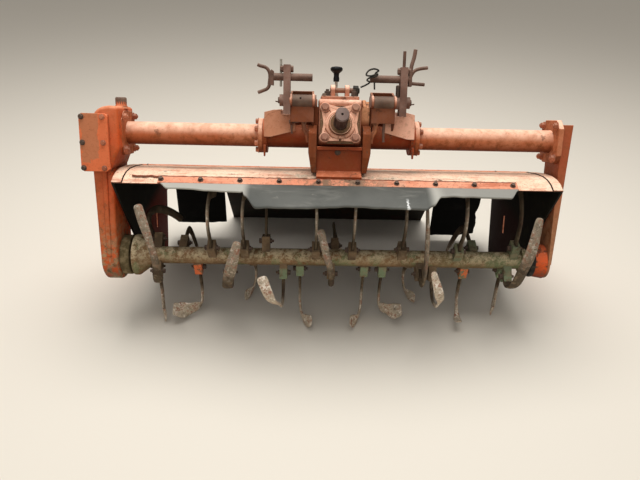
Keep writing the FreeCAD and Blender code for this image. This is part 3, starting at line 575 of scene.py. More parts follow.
def piece(name, mesh, finish, body="machine", place=PARKED, bevel=0.0, round_off=0, thick=0.0, smooth=35,
          replaces=()):
    """A finished piece: its mesh put in place, its edges eased, given its finish and body, and the CAD nodes
    it replaces hidden.
    """
    bmesh.ops.transform(mesh, matrix=place, verts=mesh.verts)
    bmesh.ops.remove_doubles(mesh, verts=mesh.verts, dist=MERGE)
    if not thick:
        bmesh.ops.recalc_face_normals(mesh, faces=mesh.faces)
    data = bpy.data.meshes.new(name)
    mesh.to_mesh(data)
    mesh.free()
    data.materials.append(finish.material)
    data.shade_smooth()
    data.set_sharp_from_angle(angle=math.radians(smooth))
    made = bpy.data.objects.new(name, data)
    bpy.context.scene.collection.objects.link(made)
    if thick:
        wall = made.modifiers.new("wall", "SOLIDIFY")
        wall.thickness = thick
        wall.offset = 0
    if bevel:
        ease = made.modifiers.new("ease", "BEVEL")
        ease.width = bevel
        ease.segments = 2
        ease.limit_method = "ANGLE"
        ease.angle_limit = math.radians(32)
        ease.harden_normals = True
    if round_off:
        soft = made.modifiers.new("soft", "SUBSURF")
        soft.levels = round_off
        soft.render_levels = round_off
    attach(made, body)
    if replaces:
        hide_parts(*replaces)


def widened_slit(mesh):
    """The worn slit through a hood end, opened a little."""
    upright = PARKED.inverted()
    for v in mesh.verts:
        spot = upright @ v.co
        if SLIT_Y - 0.5 < spot.y < SLIT_Y + SLIT_WIDE + 0.5 and 19 < spot.z < 81:
            spot.y += (spot.y - SLIT_Y - SLIT_WIDE / 2) * 2.2
            v.co = PARKED @ spot


def eased(node, finish, bevel):
    """A copy of a CAD node with its sharp edges eased, shown in its place."""
    mesh = bmesh.new()
    mesh.from_mesh(nodes[node].data)
    bmesh.ops.remove_doubles(mesh, verts=mesh.verts, dist=MERGE)
    bmesh.ops.dissolve_limit(mesh, angle_limit=math.radians(1), verts=mesh.verts, edges=mesh.edges)
    if node.startswith("hood_end"):
        widened_slit(mesh)
    piece(node + "_eased", mesh, finish, nodes[node]["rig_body"], AS_IT_IS, bevel, replaces=[node])


def rounded(mesh, width):
    """The sharp edges of a piece rounded off."""
    sharp = [e for e in mesh.edges if e.is_manifold and e.calc_face_angle(0) > math.radians(25)]
    bmesh.ops.bevel(mesh, geom=sharp, offset=width, segments=4, profile=0.5, affect="EDGES", material=-1,
                    clamp_overlap=True)


def add(mesh, other):
    """Another mesh joined into this one."""
    data = bpy.data.meshes.new("part_of")
    other.to_mesh(data)
    other.free()
    mesh.from_mesh(data)
    bpy.data.meshes.remove(data)


def toward(where, out):
    """A frame at a point, with its Z along a direction."""
    return Matrix.Translation(Vector(where)) @ Vector(out).to_track_quat("Z", "Y").to_matrix().to_4x4()


def disc(mesh, where, out, radius, depth, sides=28, top=None):
    """A short cylinder, or a cone, standing on a point."""
    place = toward(where, out) @ Matrix.Translation((0, 0, depth / 2))
    bmesh.ops.create_cone(mesh, cap_ends=True, segments=sides, radius1=radius,
                          radius2=radius if top is None else top, depth=depth, matrix=place)


def block(mesh, low, high):
    """A box between two corners."""
    low, high = Vector(low), Vector(high)
    size = high - low
    place = Matrix.Translation((low + high) / 2) @ Matrix.Diagonal((size.x, size.y, size.z, 1))
    bmesh.ops.create_cube(mesh, size=1, matrix=place)


def only(kind, parts):
    return [part for part in parts if isinstance(part, kind)]


def slab(mesh, outline, along):
    """A flat outline of points, pushed along a direction."""
    face = mesh.faces.new([mesh.verts.new(p) for p in outline])
    pushed = bmesh.ops.extrude_face_region(mesh, geom=[face])["geom"]
    bmesh.ops.translate(mesh, vec=Vector(along), verts=only(bmesh.types.BMVert, pushed))


def profile_slab(mesh, profile, x, width):
    """An outline of (y, z) seen from the end, pushed along the rotor."""
    slab(mesh, [(x, y, z) for y, z in profile], (width, 0, 0))


def hex_bolt(mesh, where, out, across=17, head=9, washer=True, stub=0):
    """A hexagon head on its washer, with the thread's end if the nut shows it."""
    where, out = Vector(where), Vector(out).normalized()
    if washer:
        disc(mesh, where, out, across * 0.72, 2.2, 24)
        where = where + out * 2.2
    turned = toward(where, out) @ Matrix.Translation((0, 0, head / 2))
    turned = turned @ Matrix.Rotation(sum(where) % 1, 4, "Z")
    bmesh.ops.create_cone(mesh, cap_ends=True, segments=6, radius1=across * 0.577,
                          radius2=across * 0.56, depth=head, matrix=turned)
    if stub:
        disc(mesh, where + out * head, out, across * 0.3, stub, 16)


def bolts(name, spots, out, finish, **how):
    mesh = bmesh.new()
    for spot in spots:
        hex_bolt(mesh, spot, out, **how)
    piece(name, mesh, finish, bevel=0.0007)


def smooth_line(stations, steps):
    """Stations of numbers joined by a smooth curve through each of them."""
    line = []
    last = len(stations) - 1
    for i in range(last):
        a, b, c, d = (stations[min(max(i + k, 0), last)] for k in (-1, 0, 1, 2))
        for j in range(steps):
            t = j / steps
            line.append([0.5 * (2 * q + (r - p) * t + (2 * p - 5 * q + 4 * r - s) * t * t
                                + (3 * q - p - 3 * r + s) * t ** 3) for p, q, r, s in zip(a, b, c, d)])
    line.append(list(stations[-1]))
    return line


def bar(mesh, stations, flat=None, sides=8, steps=4, nose=0.0):
    """A bar through stations of (x, y, z, half width, half thickness).

    Flat is a direction that its width keeps to, and nose is how far its end narrows beyond the last station.
    """
    line = smooth_line(stations, steps)
    spots = [Vector(s[:3]) for s in line]
    frames = []
    wide = None
    for i, spot in enumerate(spots):
        ahead = (spots[min(i + 1, len(spots) - 1)] - spots[max(i - 1, 0)]).normalized()
        if flat is not None:
            wide = (flat - ahead * flat.dot(ahead)).normalized()
        elif wide is None:
            wide = ahead.orthogonal().normalized()
        else:
            wide = (wide - ahead * wide.dot(ahead)).normalized()
        thin = ahead.cross(wide)
        turned = Matrix((wide * line[i][3], thin * line[i][4], ahead)).transposed().to_4x4()
        frames.append(Matrix.Translation(spot) @ turned)
    if nose:
        frames.append(frames[-1] @ Matrix.Translation((0, 0, nose)) @ Matrix.Scale(0.55, 4))
    start = frames[0] @ Matrix.Rotation(math.pi / sides, 4, "Z")
    ring = bmesh.ops.create_circle(mesh, cap_ends=False, segments=sides, radius=1.0, matrix=start)["verts"]
    edges = list({e for v in ring for e in v.link_edges})
    first = edges
    for before, after in zip(frames, frames[1:]):
        grown = bmesh.ops.extrude_edge_only(mesh, edges=edges)["geom"]
        edges = only(bmesh.types.BMEdge, grown)
        bmesh.ops.transform(mesh, matrix=after @ before.inverted(), verts=only(bmesh.types.BMVert, grown))
    for end in (first, edges):
        bmesh.ops.edgeloop_fill(mesh, edges=end)


def wire(mesh, points, radius, sides=10, steps=4):
    bar(mesh, [(*p, radius, radius) for p in points], None, sides, steps)


def lathe(mesh, profile, where, out, sides=40):
    """A round piece turned from a profile of (radius, height)."""
    place = toward(where, out)
    corners = [mesh.verts.new(place @ Vector((r, 0, h))) for r, h in profile]
    edges = [mesh.edges.new(pair) for pair in zip(corners, corners[1:])]
    bmesh.ops.spin(mesh, geom=corners + edges, cent=place.translation, axis=place.to_3x3() @ UP,
                   angle=2 * math.pi, steps=sides, use_merge=True)
    bmesh.ops.remove_doubles(mesh, verts=mesh.verts, dist=0.01)


def ring_point(x, out, degrees):
    """A point at a radius and an angle about the rotor's line."""
    a = math.radians(degrees)
    return (x, out * math.cos(a), out * math.sin(a))


# Carried over from CAD with eased edges
for node, finish, bevel in (
        ("case_cover", COVER, 0.0012), ("beam_tube_left", PAINT, 0.0016),
        ("beam_tube_right", PAINT, 0.0016), ("axle_housing_left", DARK_ORANGE_AND_SHADE, 0.0012),
        ("axle_housing_right", DARK_ORANGE_AND_SHADE, 0.0012), ("gear_housing", GEAR, 0.003),
        ("bearing_cap", RECESS, 0.0025), ("top_link_lugs", GEAR, 0.002), ("cheek_left", CHEEK_PAINT_LIGHT_AND_SHADE, 0.0016),
        ("cheek_right", CHEEK_PAINT_LIGHT_AND_SHADE, 0.0016), ("pedestal_plate", DARK_ORANGE_AND_SHADE, 0.0012),
        ("hood_sheet", HOOD, 0.0008), ("hood_end_left", HOOD_END, 0.001), ("hood_end_right", HOOD_END, 0.001),
        ("lip_strip", LIP, 0.0007), ("rail_left", RAIL, 0.001), ("rail_right", RAIL, 0.001),
        ("rear_board", BOARD, 0.001), ("hinge_rod", PIN, 0.0007), ("side_plate", PLATE, 0.0012),
        ("rotor_bearing", BEARING, 0.003), ("rotor_boss", BOSS, 0.003),
        ("hitch_bracket_left", BRACKET_PAINT_AND_SHADE, 0.0012), ("hitch_bracket_right", BRACKET_PAINT_AND_SHADE, 0.0012),
        ("shield_left", SHIELD, 0.001), ("shield_right", SHIELD_RIGHT_PAINT_AND_LIGHT, 0.001),
        ("hitch_arm_left", ARM, 0.0016), ("hitch_arm_right", ARM, 0.0016), ("hitch_pin_left", PIN, 0.001),
        ("hitch_pin_right", PIN, 0.001), ("drop_pin_left", STEM, 0.0004), ("stop_pin_right", PIN, 0.0005),
        ("input_shaft", SHAFT, 0.0008), ("rotor_tube", ROTOR, 0.002), ("tine_holders", HOLDER, 0.0022)):
    eased(node, finish, bevel)


def chain_case():
    """The case: a round-ended column with a rib, a rounded head and the flange that holds its cover."""
    mesh = bmesh.new()
    foot = [ring_point(CASE_LEFT, CASE_RADIUS, -180 + 10 * k) for k in range(19)]
    slab(mesh, foot + [(CASE_LEFT, 62, BEAM_HEIGHT), (CASE_LEFT, -62, BEAM_HEIGHT)], (40, 0, 0))
    rounded(mesh, 7)
    for v in mesh.verts:
        if v.co.x < CASE_LEFT + 12:
            v.co.x -= 5 + 12 * max(0, v.co.z) / BEAM_HEIGHT
    head = bmesh.new()
    outline = [(-641, 245), (-641, 372), (-634, 394), (-618, 407), (-596, 411), (-572, 409), (-572, 300),
               (-585, 275), (-590, 262), (-598, 245)]
    slab(head, [(x, -84, z) for x, z in outline], (0, 134, 0))
    rounded(head, 9)
    rib = bmesh.new()
    profile_slab(rib, [(-70, 8), (-70, 250), (-56, 250), (-56, 2)], -626, 13)
    rounded(rib, 3)
    flange = bmesh.new()
    block(flange, (COVER_LEFT + 1.5, COVER_FACE + 9, COVER_LOW + 2),
          (COVER_RIGHT - 1.5, COVER_FACE + 20, COVER_HIGH - 2))
    rounded(flange, 3)
    for other in (head, rib, flange):
        add(mesh, other)
    piece("chain_case_body", mesh, CASE, smooth=50, replaces=["chain_case"])


def filler():
    """The oil filler: a painted neck under a ribbed cap."""
    spot = Vector((-585, -10, 407))
    mesh = bmesh.new()
    lathe(mesh, [(21, -2), (17, 2), (14.5, 6), (13.5, 16), (0, 16)], spot, UP, 32)
    piece("filler_neck", mesh, CASE, replaces=["filler_plug"])
    mesh = bmesh.new()
    lathe(mesh, [(0, 7), (14, 7), (14.6, 9), (14.6, 24), (12.6, 27), (0, 27)], spot, UP, 36)
    for v in mesh.verts:
        out = v.co.xy - spot.xy
        if out.length > 13.8 and round(math.atan2(out.y, out.x) * 18 / math.pi) % 2:
            v.co.xy -= out * 0.09
    piece("filler_cap", mesh, SLEEVE, smooth=20)


chain_case()
filler()

# Bolts of the case cover, the end flanges and the joint flanges
for name, x, finish in (("left", COVER_LEFT + 7, DARK_BOLT), ("right", COVER_RIGHT - 13, NUT)):
    heights = (COVER_LOW + 9, COVER_LOW + 74, COVER_HIGH - 9)
    bolts("cover_bolts_" + name, [(x, COVER_FACE, z) for z in heights], FRONT, finish, across=10, head=5)
bolts("case_side_bolt", [(CASE_LEFT - 5.5, -34, 24)], LEFT, DARK_BOLT, across=11, head=6)
for name, x, out in (("left", LEFT_FLANGE, RIGHT), ("right", RIGHT_FLANGE, LEFT)):
    bolts(name + "_flange_nuts", [(x, y, BEAM_HEIGHT + z) for y in (-43, 43) for z in (-43, 43)], out, NUT,
          across=15, head=8, stub=3)
for name, out in (("left", LEFT), ("right", RIGHT)):
    ring = [ring_point((JOINT_X + 12) * out.x, 38, 30 + 60 * k) for k in range(6)]
    bolts(name + "_joint_bolts", [(x, y, BEAM_HEIGHT + z) for x, y, z in ring], out, NUT, across=13, head=7)


def on_cap(right, up, out):
    return CAP_FOOT + RIGHT * right + SHAFT_UP * up + SHAFT_OUT * out


def cap_plate(mesh, corners, out, thick):
    """A flat plate on the cap, its corners given as (right, up)."""
    slab(mesh, [on_cap(right, up, out) for right, up in corners], SHAFT_OUT * thick)


def cap_ears():
    """The bearing cap's front: ribs from its four ears to the ring, an upper web, and the shaft's end."""
    mesh = bmesh.new()
    ears = ((-40, -35), (40, -35), (40, 44), (-40, 44))
    for right, up in ears:
        disc(mesh, on_cap(right, up, 6), SHAFT_OUT, 15, 10, 28, 13)
        length = math.hypot(right, up)
        along = Vector((right, up)) / length
        beside = Vector((-along.y, along.x))
        for turn in (-1, 1):
            rib = [(length + 1, 12), (length - 4, 7), (24, 26), (31, 31)]
            cap_plate(mesh, [along * a + beside * b * turn for a, b in rib], 11, 4.5)
        web = [(length, 10), (length, -10), (26, -24), (26, 24)]
        cap_plate(mesh, [along * a + beside * b for a, b in web], 10, 3)
    cap_plate(mesh, [(-34, 46), (-20, 26), (20, 26), (34, 46)], 11, 4)
    centre = on_cap(0, 0, 0)
    lathe(mesh, [(40, 11), (39, 16), (35.5, 18), (32.5, 17), (30, 19), (30, 25), (27, 26.5), (25, 24.5)],
          centre, SHAFT_OUT, 48)
    piece("cap_ears", mesh, CAP, bevel=0.001)
    bolts("cap_bolts", [on_cap(right, up, 16) for right, up in ears], SHAFT_OUT, EAR_BOLT, across=16, head=8)
    mesh = bmesh.new()
    lathe(mesh, [(18, 22), (18, 25), (23, 25.5), (26, 24)], centre, SHAFT_OUT)
    piece("shaft_seal", mesh, RECESS)
    mesh = bmesh.new()
    rim = [(3.2, -3), (3.2, 0.4), (15.6, 0.4), (17.5, -1.4), (17.5, -9), (14, -9)]
    lathe(mesh, [(r, SHAFT_LENGTH + h) for r, h in rim], centre, SHAFT_OUT)
    piece("shaft_end", mesh, SHAFT_END, "input")
    # Painted shade: a dark disc filling the shaft's centre hole
    mesh = bmesh.new()
    disc(mesh, on_cap(0, 0, SHAFT_LENGTH - 2), SHAFT_OUT, 3.4, 1)
    piece("shaft_centre", mesh, GAP, "input")


cap_ears()

# The lip strip's bolts
lip_run = Vector((0, 20, 14)).normalized()
lip_out = Vector((0, -14, 20)).normalized()
bolts("lip_bolts", [(-462 + 102.1 * k, LIP_Y + 10 - 2.5, LIP_Z + 7 + 3.4) for k in range(10)], lip_out, SCREW,
      across=10, head=5)


def hood_line(lift=0.0):
    """The hood's upper face from lip to hinge, as (y, z), raised square to itself."""
    line = [(LIP_Y, LIP_Z), (LIP_Y + 20, LIP_Z + 14), (LIP_Y + 46, HOOD_TOP - 8), (LIP_Y + 78, HOOD_TOP - 2),
            (20, HOOD_TOP), (80, HOOD_TOP - 2), (RAIL_Y, RAIL_Z), (RAIL_Y + 60, RAIL_Z - 14),
            (HINGE_Y - 14, HINGE_Z + 12)]
    raised = []
    for i, (y, z) in enumerate(line):
        a, b = line[max(i - 1, 0)], line[min(i + 1, len(line) - 1)]
        run = math.hypot(b[0] - a[0], b[1] - a[1])
        raised.append((y - lift * (b[1] - a[1]) / run, z + lift * (b[0] - a[0]) / run))
    return raised


def end_caps():
    """The hood's end pieces lap over the top sheet and leave a dark seam."""
    for side, name in SIDES:
        for part, high, low, inset, width, finish, bevel in (
                ("lap", 2.0, 0.2, -5, 26, HOOD, 0.0006), ("seam", 0.9, 0.1, 20, 3.2, GAP, 0.0)):
            mesh = bmesh.new()
            line = hood_line(high)[:7] + hood_line(low)[:7][::-1]
            profile_slab(mesh, line, side * (HOOD_HALF - inset), -side * width)
            piece(f"end_{part}_{name}", mesh, finish, bevel=bevel)


end_caps()


def hood_marks():
    """The ragged line above the lip strip, and the slots through the rear rails."""
    mesh = bmesh.new()
    profile_slab(mesh, [(LIP_Y + 16.0, LIP_Z + 15.2), (LIP_Y + 20.5, LIP_Z + 18.4),
                        (LIP_Y + 24.5, LIP_Z + 18.4), (LIP_Y + 22, LIP_Z + 14)], -540, 1010)
    bmesh.ops.bisect_plane(mesh, geom=mesh.verts[:] + mesh.edges[:] + mesh.faces[:], plane_co=(0, 0, 0),
                           plane_no=(1, 0, 0))
    long_edges = [e for e in mesh.edges if e.calc_length() > 100]
    bmesh.ops.subdivide_edges(mesh, edges=long_edges, cuts=90, use_grid_fill=True)
    for v in mesh.verts:
        v.co += lip_run * (3.0 * noise.noise(Vector((v.co.x * 0.06, 3, 0))))
        v.co += lip_out * (1.2 * noise.noise(Vector((v.co.x * 0.09, 8, 0))))
    piece("lip_ridge", mesh, RIDGE, smooth=60)
    # Painted shade: the slots are dark blocks standing for their shaded insides
    mesh = bmesh.new()
    for x in (-560, 482):
        block(mesh, (x, RAIL_Y - 3.6, RAIL_Z + 1), (x + 3, RAIL_Y + 3.6, RAIL_Z + 8.6))
    piece("rail_slots", mesh, GAP)


hood_marks()


def front_flap():
    """The rubber flap under the lip: long in the middle, short at the sides, torn on its left."""
    drops = [(FLAP_LEFT, 4), (-440, 32), (-250, 40), (-247, 36), (-244, 52), (-210, 96), (-150, 94), (60, 88),
             (215, 92), (236, 80), (262, 48), (300, 44), (440, 46), (FLAP_LEFT + FLAP_WIDTH, 10)]

    def drop(x):
        """How far the flap hangs down at x."""
        for (x0, d0), (x1, d1) in zip(drops, drops[1:]):
            if x0 <= x <= x1:
                t = (x - x0) / (x1 - x0)
                t = t * t * (3 - 2 * t)
                return d0 + (d1 - d0) * t
        return 4

    mesh = bmesh.new()
    bmesh.ops.create_grid(mesh, x_segments=200, y_segments=14, size=0.5)
    reach = math.hypot(LIP_Y, LIP_Z) + 1
    start = math.atan2(LIP_Z, LIP_Y) - 0.03
    for v in mesh.verts:
        x = FLAP_LEFT + FLAP_WIDTH * (v.co.x + 0.5)
        t = v.co.y + 0.5
        length = drop(x) + 2.5 * noise.noise(Vector((x * 0.03, 0, 7)))
        down = t * length
        wave = noise.noise(Vector((x * 0.008, t * 0.6, 3))) * 4 * t
        radius = reach + 7 * (down / 96) + wave
        angle = start + down / reach
        v.co = Vector((x, radius * math.cos(angle), radius * math.sin(angle)))
    piece("front_flap_rubber", mesh, FLAP, thick=0.004, smooth=60, replaces=["front_flap"])


front_flap()

# Rubber flaps hanging beside the rear board
hinge = Vector((0, HINGE_Y, HINGE_Z))


def rear_flap(name, node, side, length, inner, outer, lower):
    """A hanging flap.

    The three rules say how far it starts nearer the board and what is torn off its outer and lower edge.
    """
    mesh = bmesh.new()
    bmesh.ops.create_grid(mesh, x_segments=60, y_segments=44, size=0.5)
    for v in mesh.verts:
        across = v.co.x + 0.5
        down = 0.5 - v.co.y
        nick = 5 * noise.noise(Vector((down * 7, 2, side))) + 2 * noise.noise(Vector((down * 26, 4, side)))
        start = BOARD_HALF + 6 - inner(down)
        width = FLAP_REACH - start - outer(down) - nick * min(1, outer(down) / 12)
        x = side * (start + width * across)
        drop = length - lower(across) - 2.5 * noise.noise(Vector((across * 9, 9, side)))
        bulge = 3 * down * (1 + noise.noise(Vector((across * 2, down * 2, 5))))
        v.co = Vector((x, 0, 0)) + hinge + REAR * (9.5 + bulge) + DOWN * (drop * down)
    piece(name, mesh, REAR_FLAP, thick=0.0055, smooth=60, replaces=[node])


rear_flap("rear_rubber_left", "rear_flap_left", -1, 160,
          lambda t: 3, lambda t: 0, lambda t: 14 * max(0, 0.35 - t))
rear_flap("rear_rubber_right", "rear_flap_right", 1, 196,
          lambda t: 3, lambda t: 4 + 8 * max(0, t - 0.3) + 7 * math.exp(-(9 * (t - 0.55)) ** 2),
          lambda t: 26 * max(0, t - 0.6))

# Tines: place along the rotor, root angle as parked, sweep, side step and reach, and how far a hook bellies
BLADES = [
    (-514, 287, 22, 18, 196), (-503, 54, 40, 34, 165), (-436, 24, 54, 23, 145), (-394, 288, 24, -78, 170),
    (-346, 124, 38, 14, 192), (-254, 124, 38, 14, 192), (-238, 322, 30, -32, 188), (-197, 78, 34, 20, 192),
    (-100, 287, 30, 36, 192), (-56, 124, 38, -12, 192), (0, 22, 44, 30, 190), (46, 124, 38, 12, 192),
    (86, 288, 30, -36, 192), (139, 287, 22, 64, 164), (186, 118, 36, -14, 192), (222, 322, 30, 36, 188),
    (345, 122, 36, 10, 192), (376, 286, 30, -5, 188), (402, 22, 50, -44, 190), (490, 294, 16, -6, 197),
    (508, 104, 40, 22, 190),
]
HOOKS = [
    (-503, 238, 122, -14, 208, 1.0), (-300, 246, 104, 40, 178, 1.05), (-147, 254, 84, -48, 186, 1.42),
    (-12, 240, 112, -34, 166, 1.0), (280, 252, 88, -34, 184, 1.40), (494, 238, 118, 30, 200, 1.0),
]
SICKLE = (240, 222, 112, -6, 204, 1.05)

# How each kind of tine is bent: radius, shares of the sweep and of the side step, half width, half thickness
SHANK = [(26, 0, 0, 13, 4.5), (90, 0.04, 0, 13, 4.5), (140, 0.14, 0, 12.5, 4.5)]
BLADE_SHAPE = SHANK + [(178, 0.36, 0.05, 13, 4.5), (200, 0.60, 0.28, 17, 4.2), (202, 0.82, 0.66, 22, 3.8),
                       (1.0, 1.0, 1.0, 17, 2.2)]
PADDLE_SHAPE = SHANK + [(178, 0.36, 0.05, 14, 4.5), (200, 0.60, 0.28, 20, 4.2), (202, 0.82, 0.66, 27, 3.8),
                        (1.0, 1.0, 1.0, 21, 2.2)]
TURNED_SHAPE = SHANK[:2] + [(140, 0.14, 0, 11, 4.5), (168, 0.36, 0.05, 8, 5), (186, 0.60, 0.4, 6, 9),
                            (190, 0.82, 0.8, 4, 13), (1.0, 1.0, 1.0, 3, 11)]
UPRIGHT_SHAPE = [(26, 0, 0, 13, 4.5), (90, 0.04, -1.2, 13, 4.5), (140, 0.14, -2.0, 12.5, 4.5),
                 (178, 0.36, -2.2, 13, 4.5), (196, 0.60, -1.7, 15, 4.2), (200, 0.82, -0.6, 15, 3.8),
                 (1.0, 1.0, 0.4, 12, 2.2)]
BENT_SHAPE = [(26, 0, 0, 13, 4.5), (71, 0.04, 0, 13, 4.5), (110, 0.14, 0, 12.5, 4.5),
              (134, 0.36, 0.05, 13, 4.5), (146, 0.60, 0.28, 14, 4.2), (150, 0.82, 0.66, 14, 4),
              (1.0, 1.0, 1.0, 12, 3)]
ARCH_SHAPE = [(26, 0, 0, 13, 5), (84, 0.04, -0.9, 12, 6), (120, 0.14, -1.1, 12, 7), (146, 0.36, -0.8, 13, 8),
              (160, 0.6, -0.2, 14, 11), (165, 0.82, 0.5, 14, 12), (1.0, 1.0, 1.0, 13, 11)]
OWN_SHAPE = {(376, 286): TURNED_SHAPE, (-503, 54): ARCH_SHAPE, (-436, 24): BENT_SHAPE,
             (490, 294): UPRIGHT_SHAPE, (-394, 288): PADDLE_SHAPE, (139, 287): PADDLE_SHAPE}
HOOK_SHAPE = [(26, 0, 0, 13, 4.5), (76, 0.11, 0, 15, 5), (98, 0.36, 0.05, 16, 5.5), (114, 0.60, 0.25, 17, 6),
              (146, 0.80, 0.60, 17, 6), (1.0, 1.0, 1.0, 12, 4)]
SLANTED_SHAPE = [(26, 0, 0, 13, 5), (76, 0.11, -0.6, 13, 5), (98, 0.36, -1.1, 12, 5.5),
                 (114, 0.60, -1.5, 11, 6), (146, 0.80, -0.9, 11, 6), (178, 0.92, 0.1, 14, 5.5),
                 (1.0, 1.0, 1.0, 13, 4)]
STALK = [(26, 0, 0, 6, 8), (76, 0.11, 0, 5, 8), (100, 0.36, 0.02, 4, 6)]
LEAF_SHAPE = STALK + [(114, 0.60, 0.12, 3, 5), (150, 0.80, 0.50, 13, 4), (1.0, 1.0, 1.0, 16, 3)]
WILLOW_SHAPE = STALK + [(114, 0.60, 0.12, 5, 5), (150, 0.80, 0.50, 14, 4), (1.0, 1.0, 1.0, 9, 3)]
NARROW_SHAPE = [(26, 0, 0, 8, 5), (76, 0.11, 0, 8, 5), (98, 0.36, 0, 8, 5.5), (114, 0.60, 0.1, 9, 6),
                (146, 0.80, 0.5, 11, 6), (1.0, 1.0, 1.0, 12, 4)]
OWN_HOOK_SHAPE = {-503: SLANTED_SHAPE, -12: NARROW_SHAPE, -147: LEAF_SHAPE, 280: WILLOW_SHAPE}


def tine(mesh, place, shape, belly=1.0, on_edge=True):
    """A tine rolled from its root outward; its broad face lies along the rotor or across it."""
    x, angle, sweep, side, reach = place
    stations = []
    for k, (r, turn, step, half_wide, half_thick) in enumerate(shape):
        out = reach if k == len(shape) - 1 else min(r * (belly if k else 1), reach + 12)
        stations.append((*ring_point(x + side * step, out, angle - sweep * turn), half_thick, half_wide))
    if not on_edge:
        stations = [(*s[:3], s[4], s[3]) for s in stations]
    bar(mesh, stations, RIGHT, 8, 4, 2.0 if on_edge else 5.0)


def tines():
    for name, node, members in (
            ("blades_left", "tines_left_hand", [b for b in BLADES if b[3] <= 0]),
            ("blades_right", "tines_right_hand", [b for b in BLADES if b[3] > 0])):
        mesh = bmesh.new()
        for member in members:
            tine(mesh, member, OWN_SHAPE.get(member[:2], BLADE_SHAPE))
        piece(name, mesh, TINE, "rotor", ON_ROTOR, round_off=1, smooth=80, replaces=[node])
    mesh = bmesh.new()
    leaves = bmesh.new()
    for member in HOOKS:
        shape = OWN_HOOK_SHAPE.get(member[0], HOOK_SHAPE)
        tine(leaves if shape in (LEAF_SHAPE, WILLOW_SHAPE) else mesh, member[:5], shape, member[5], False)
    tine(mesh, SICKLE[:5], HOOK_SHAPE, SICKLE[5], True)
    piece("hooks_and_sickle", mesh, HOOK, "rotor", ON_ROTOR, round_off=1, smooth=80, replaces=["hook_tines"])
    piece("leaf_tines", leaves, LEAF, "rotor", ON_ROTOR, round_off=1, smooth=80)


tines()


def socket_bolts():
    """The bolt that holds each tine in its socket."""
    mesh = bmesh.new()
    for place in BLADES + [h[:5] for h in HOOKS] + [SICKLE[:5]]:
        x, angle = place[0], place[1]
        side = 1 if place[3] <= 0 else -1
        hex_bolt(mesh, ring_point(x + side * 11, SOCKET_BOLT, angle), RIGHT * side, across=13, head=7)
        hex_bolt(mesh, ring_point(x - side * 11, SOCKET_BOLT, angle), LEFT * side, across=13, head=6,
                 washer=False, stub=5)
    piece("socket_bolts", mesh, DARK_BOLT, "rotor", ON_ROTOR, bevel=0.0006)


socket_bolts()


def dipstick():
    mesh = bmesh.new()
    foot = Vector((-8, 40, GEAR_TOP))
    lathe(mesh, [(0, 0), (4, 0), (4, 54), (0, 54)], foot + UP * 10, UP, 20)
    lathe(mesh, [(0, 14), (6, 14), (6, 30), (0, 30)], foot, UP, 8)
    lathe(mesh, [(0, 0), (7, 0), (7, 14), (4, 14), (0, 14)], foot, UP, 6)
    piece("dipstick_stem", mesh, STEM)
    mesh = bmesh.new()
    lathe(mesh, [(0, 50), (8, 50), (8.4, 58), (7, 66), (8, 72), (13, 76), (16.5, 80), (17, 85), (14, 88.5),
                 (6, 90), (0, 90)], foot, UP, 40)
    piece("dipstick_knob", mesh, KNOB, smooth=50, replaces=["dipstick"])


dipstick()


def top_pin():
    """The worn cross pin through the two lugs, with its black nut on the right."""
    mesh = bmesh.new()
    disc(mesh, (-27, LUG_Y, LUG_Z), RIGHT, 6.6, 62, 28)
    piece("cross_pin", mesh, CROSS_PIN, bevel=0.001, replaces=["top_link_pin"])
    mesh = bmesh.new()
    hex_bolt(mesh, (35, LUG_Y, LUG_Z), RIGHT, across=24, head=14, washer=False, stub=3)
    piece("cross_pin_nut", mesh, SEAL, bevel=0.001)
    mesh = bmesh.new()
    disc(mesh, (-42, LUG_Y - 12, LUG_Z - 18), FRONT, 6, 5, 20)
    lathe(mesh, [(3.4, 0), (3.4, 7), (5.4, 8), (6.4, 6), (6.4, 0)], (-42, LUG_Y - 15, LUG_Z - 18), FRONT, 24)
    piece("lid_plug", mesh, STEM)


top_pin()


def at_pin(x, *steps):
    """Points given as steps from a place on the hitch pins' line."""
    return [(x + a, SLEEVE_Y + b, PIN_Z + c) for a, b, c in steps]


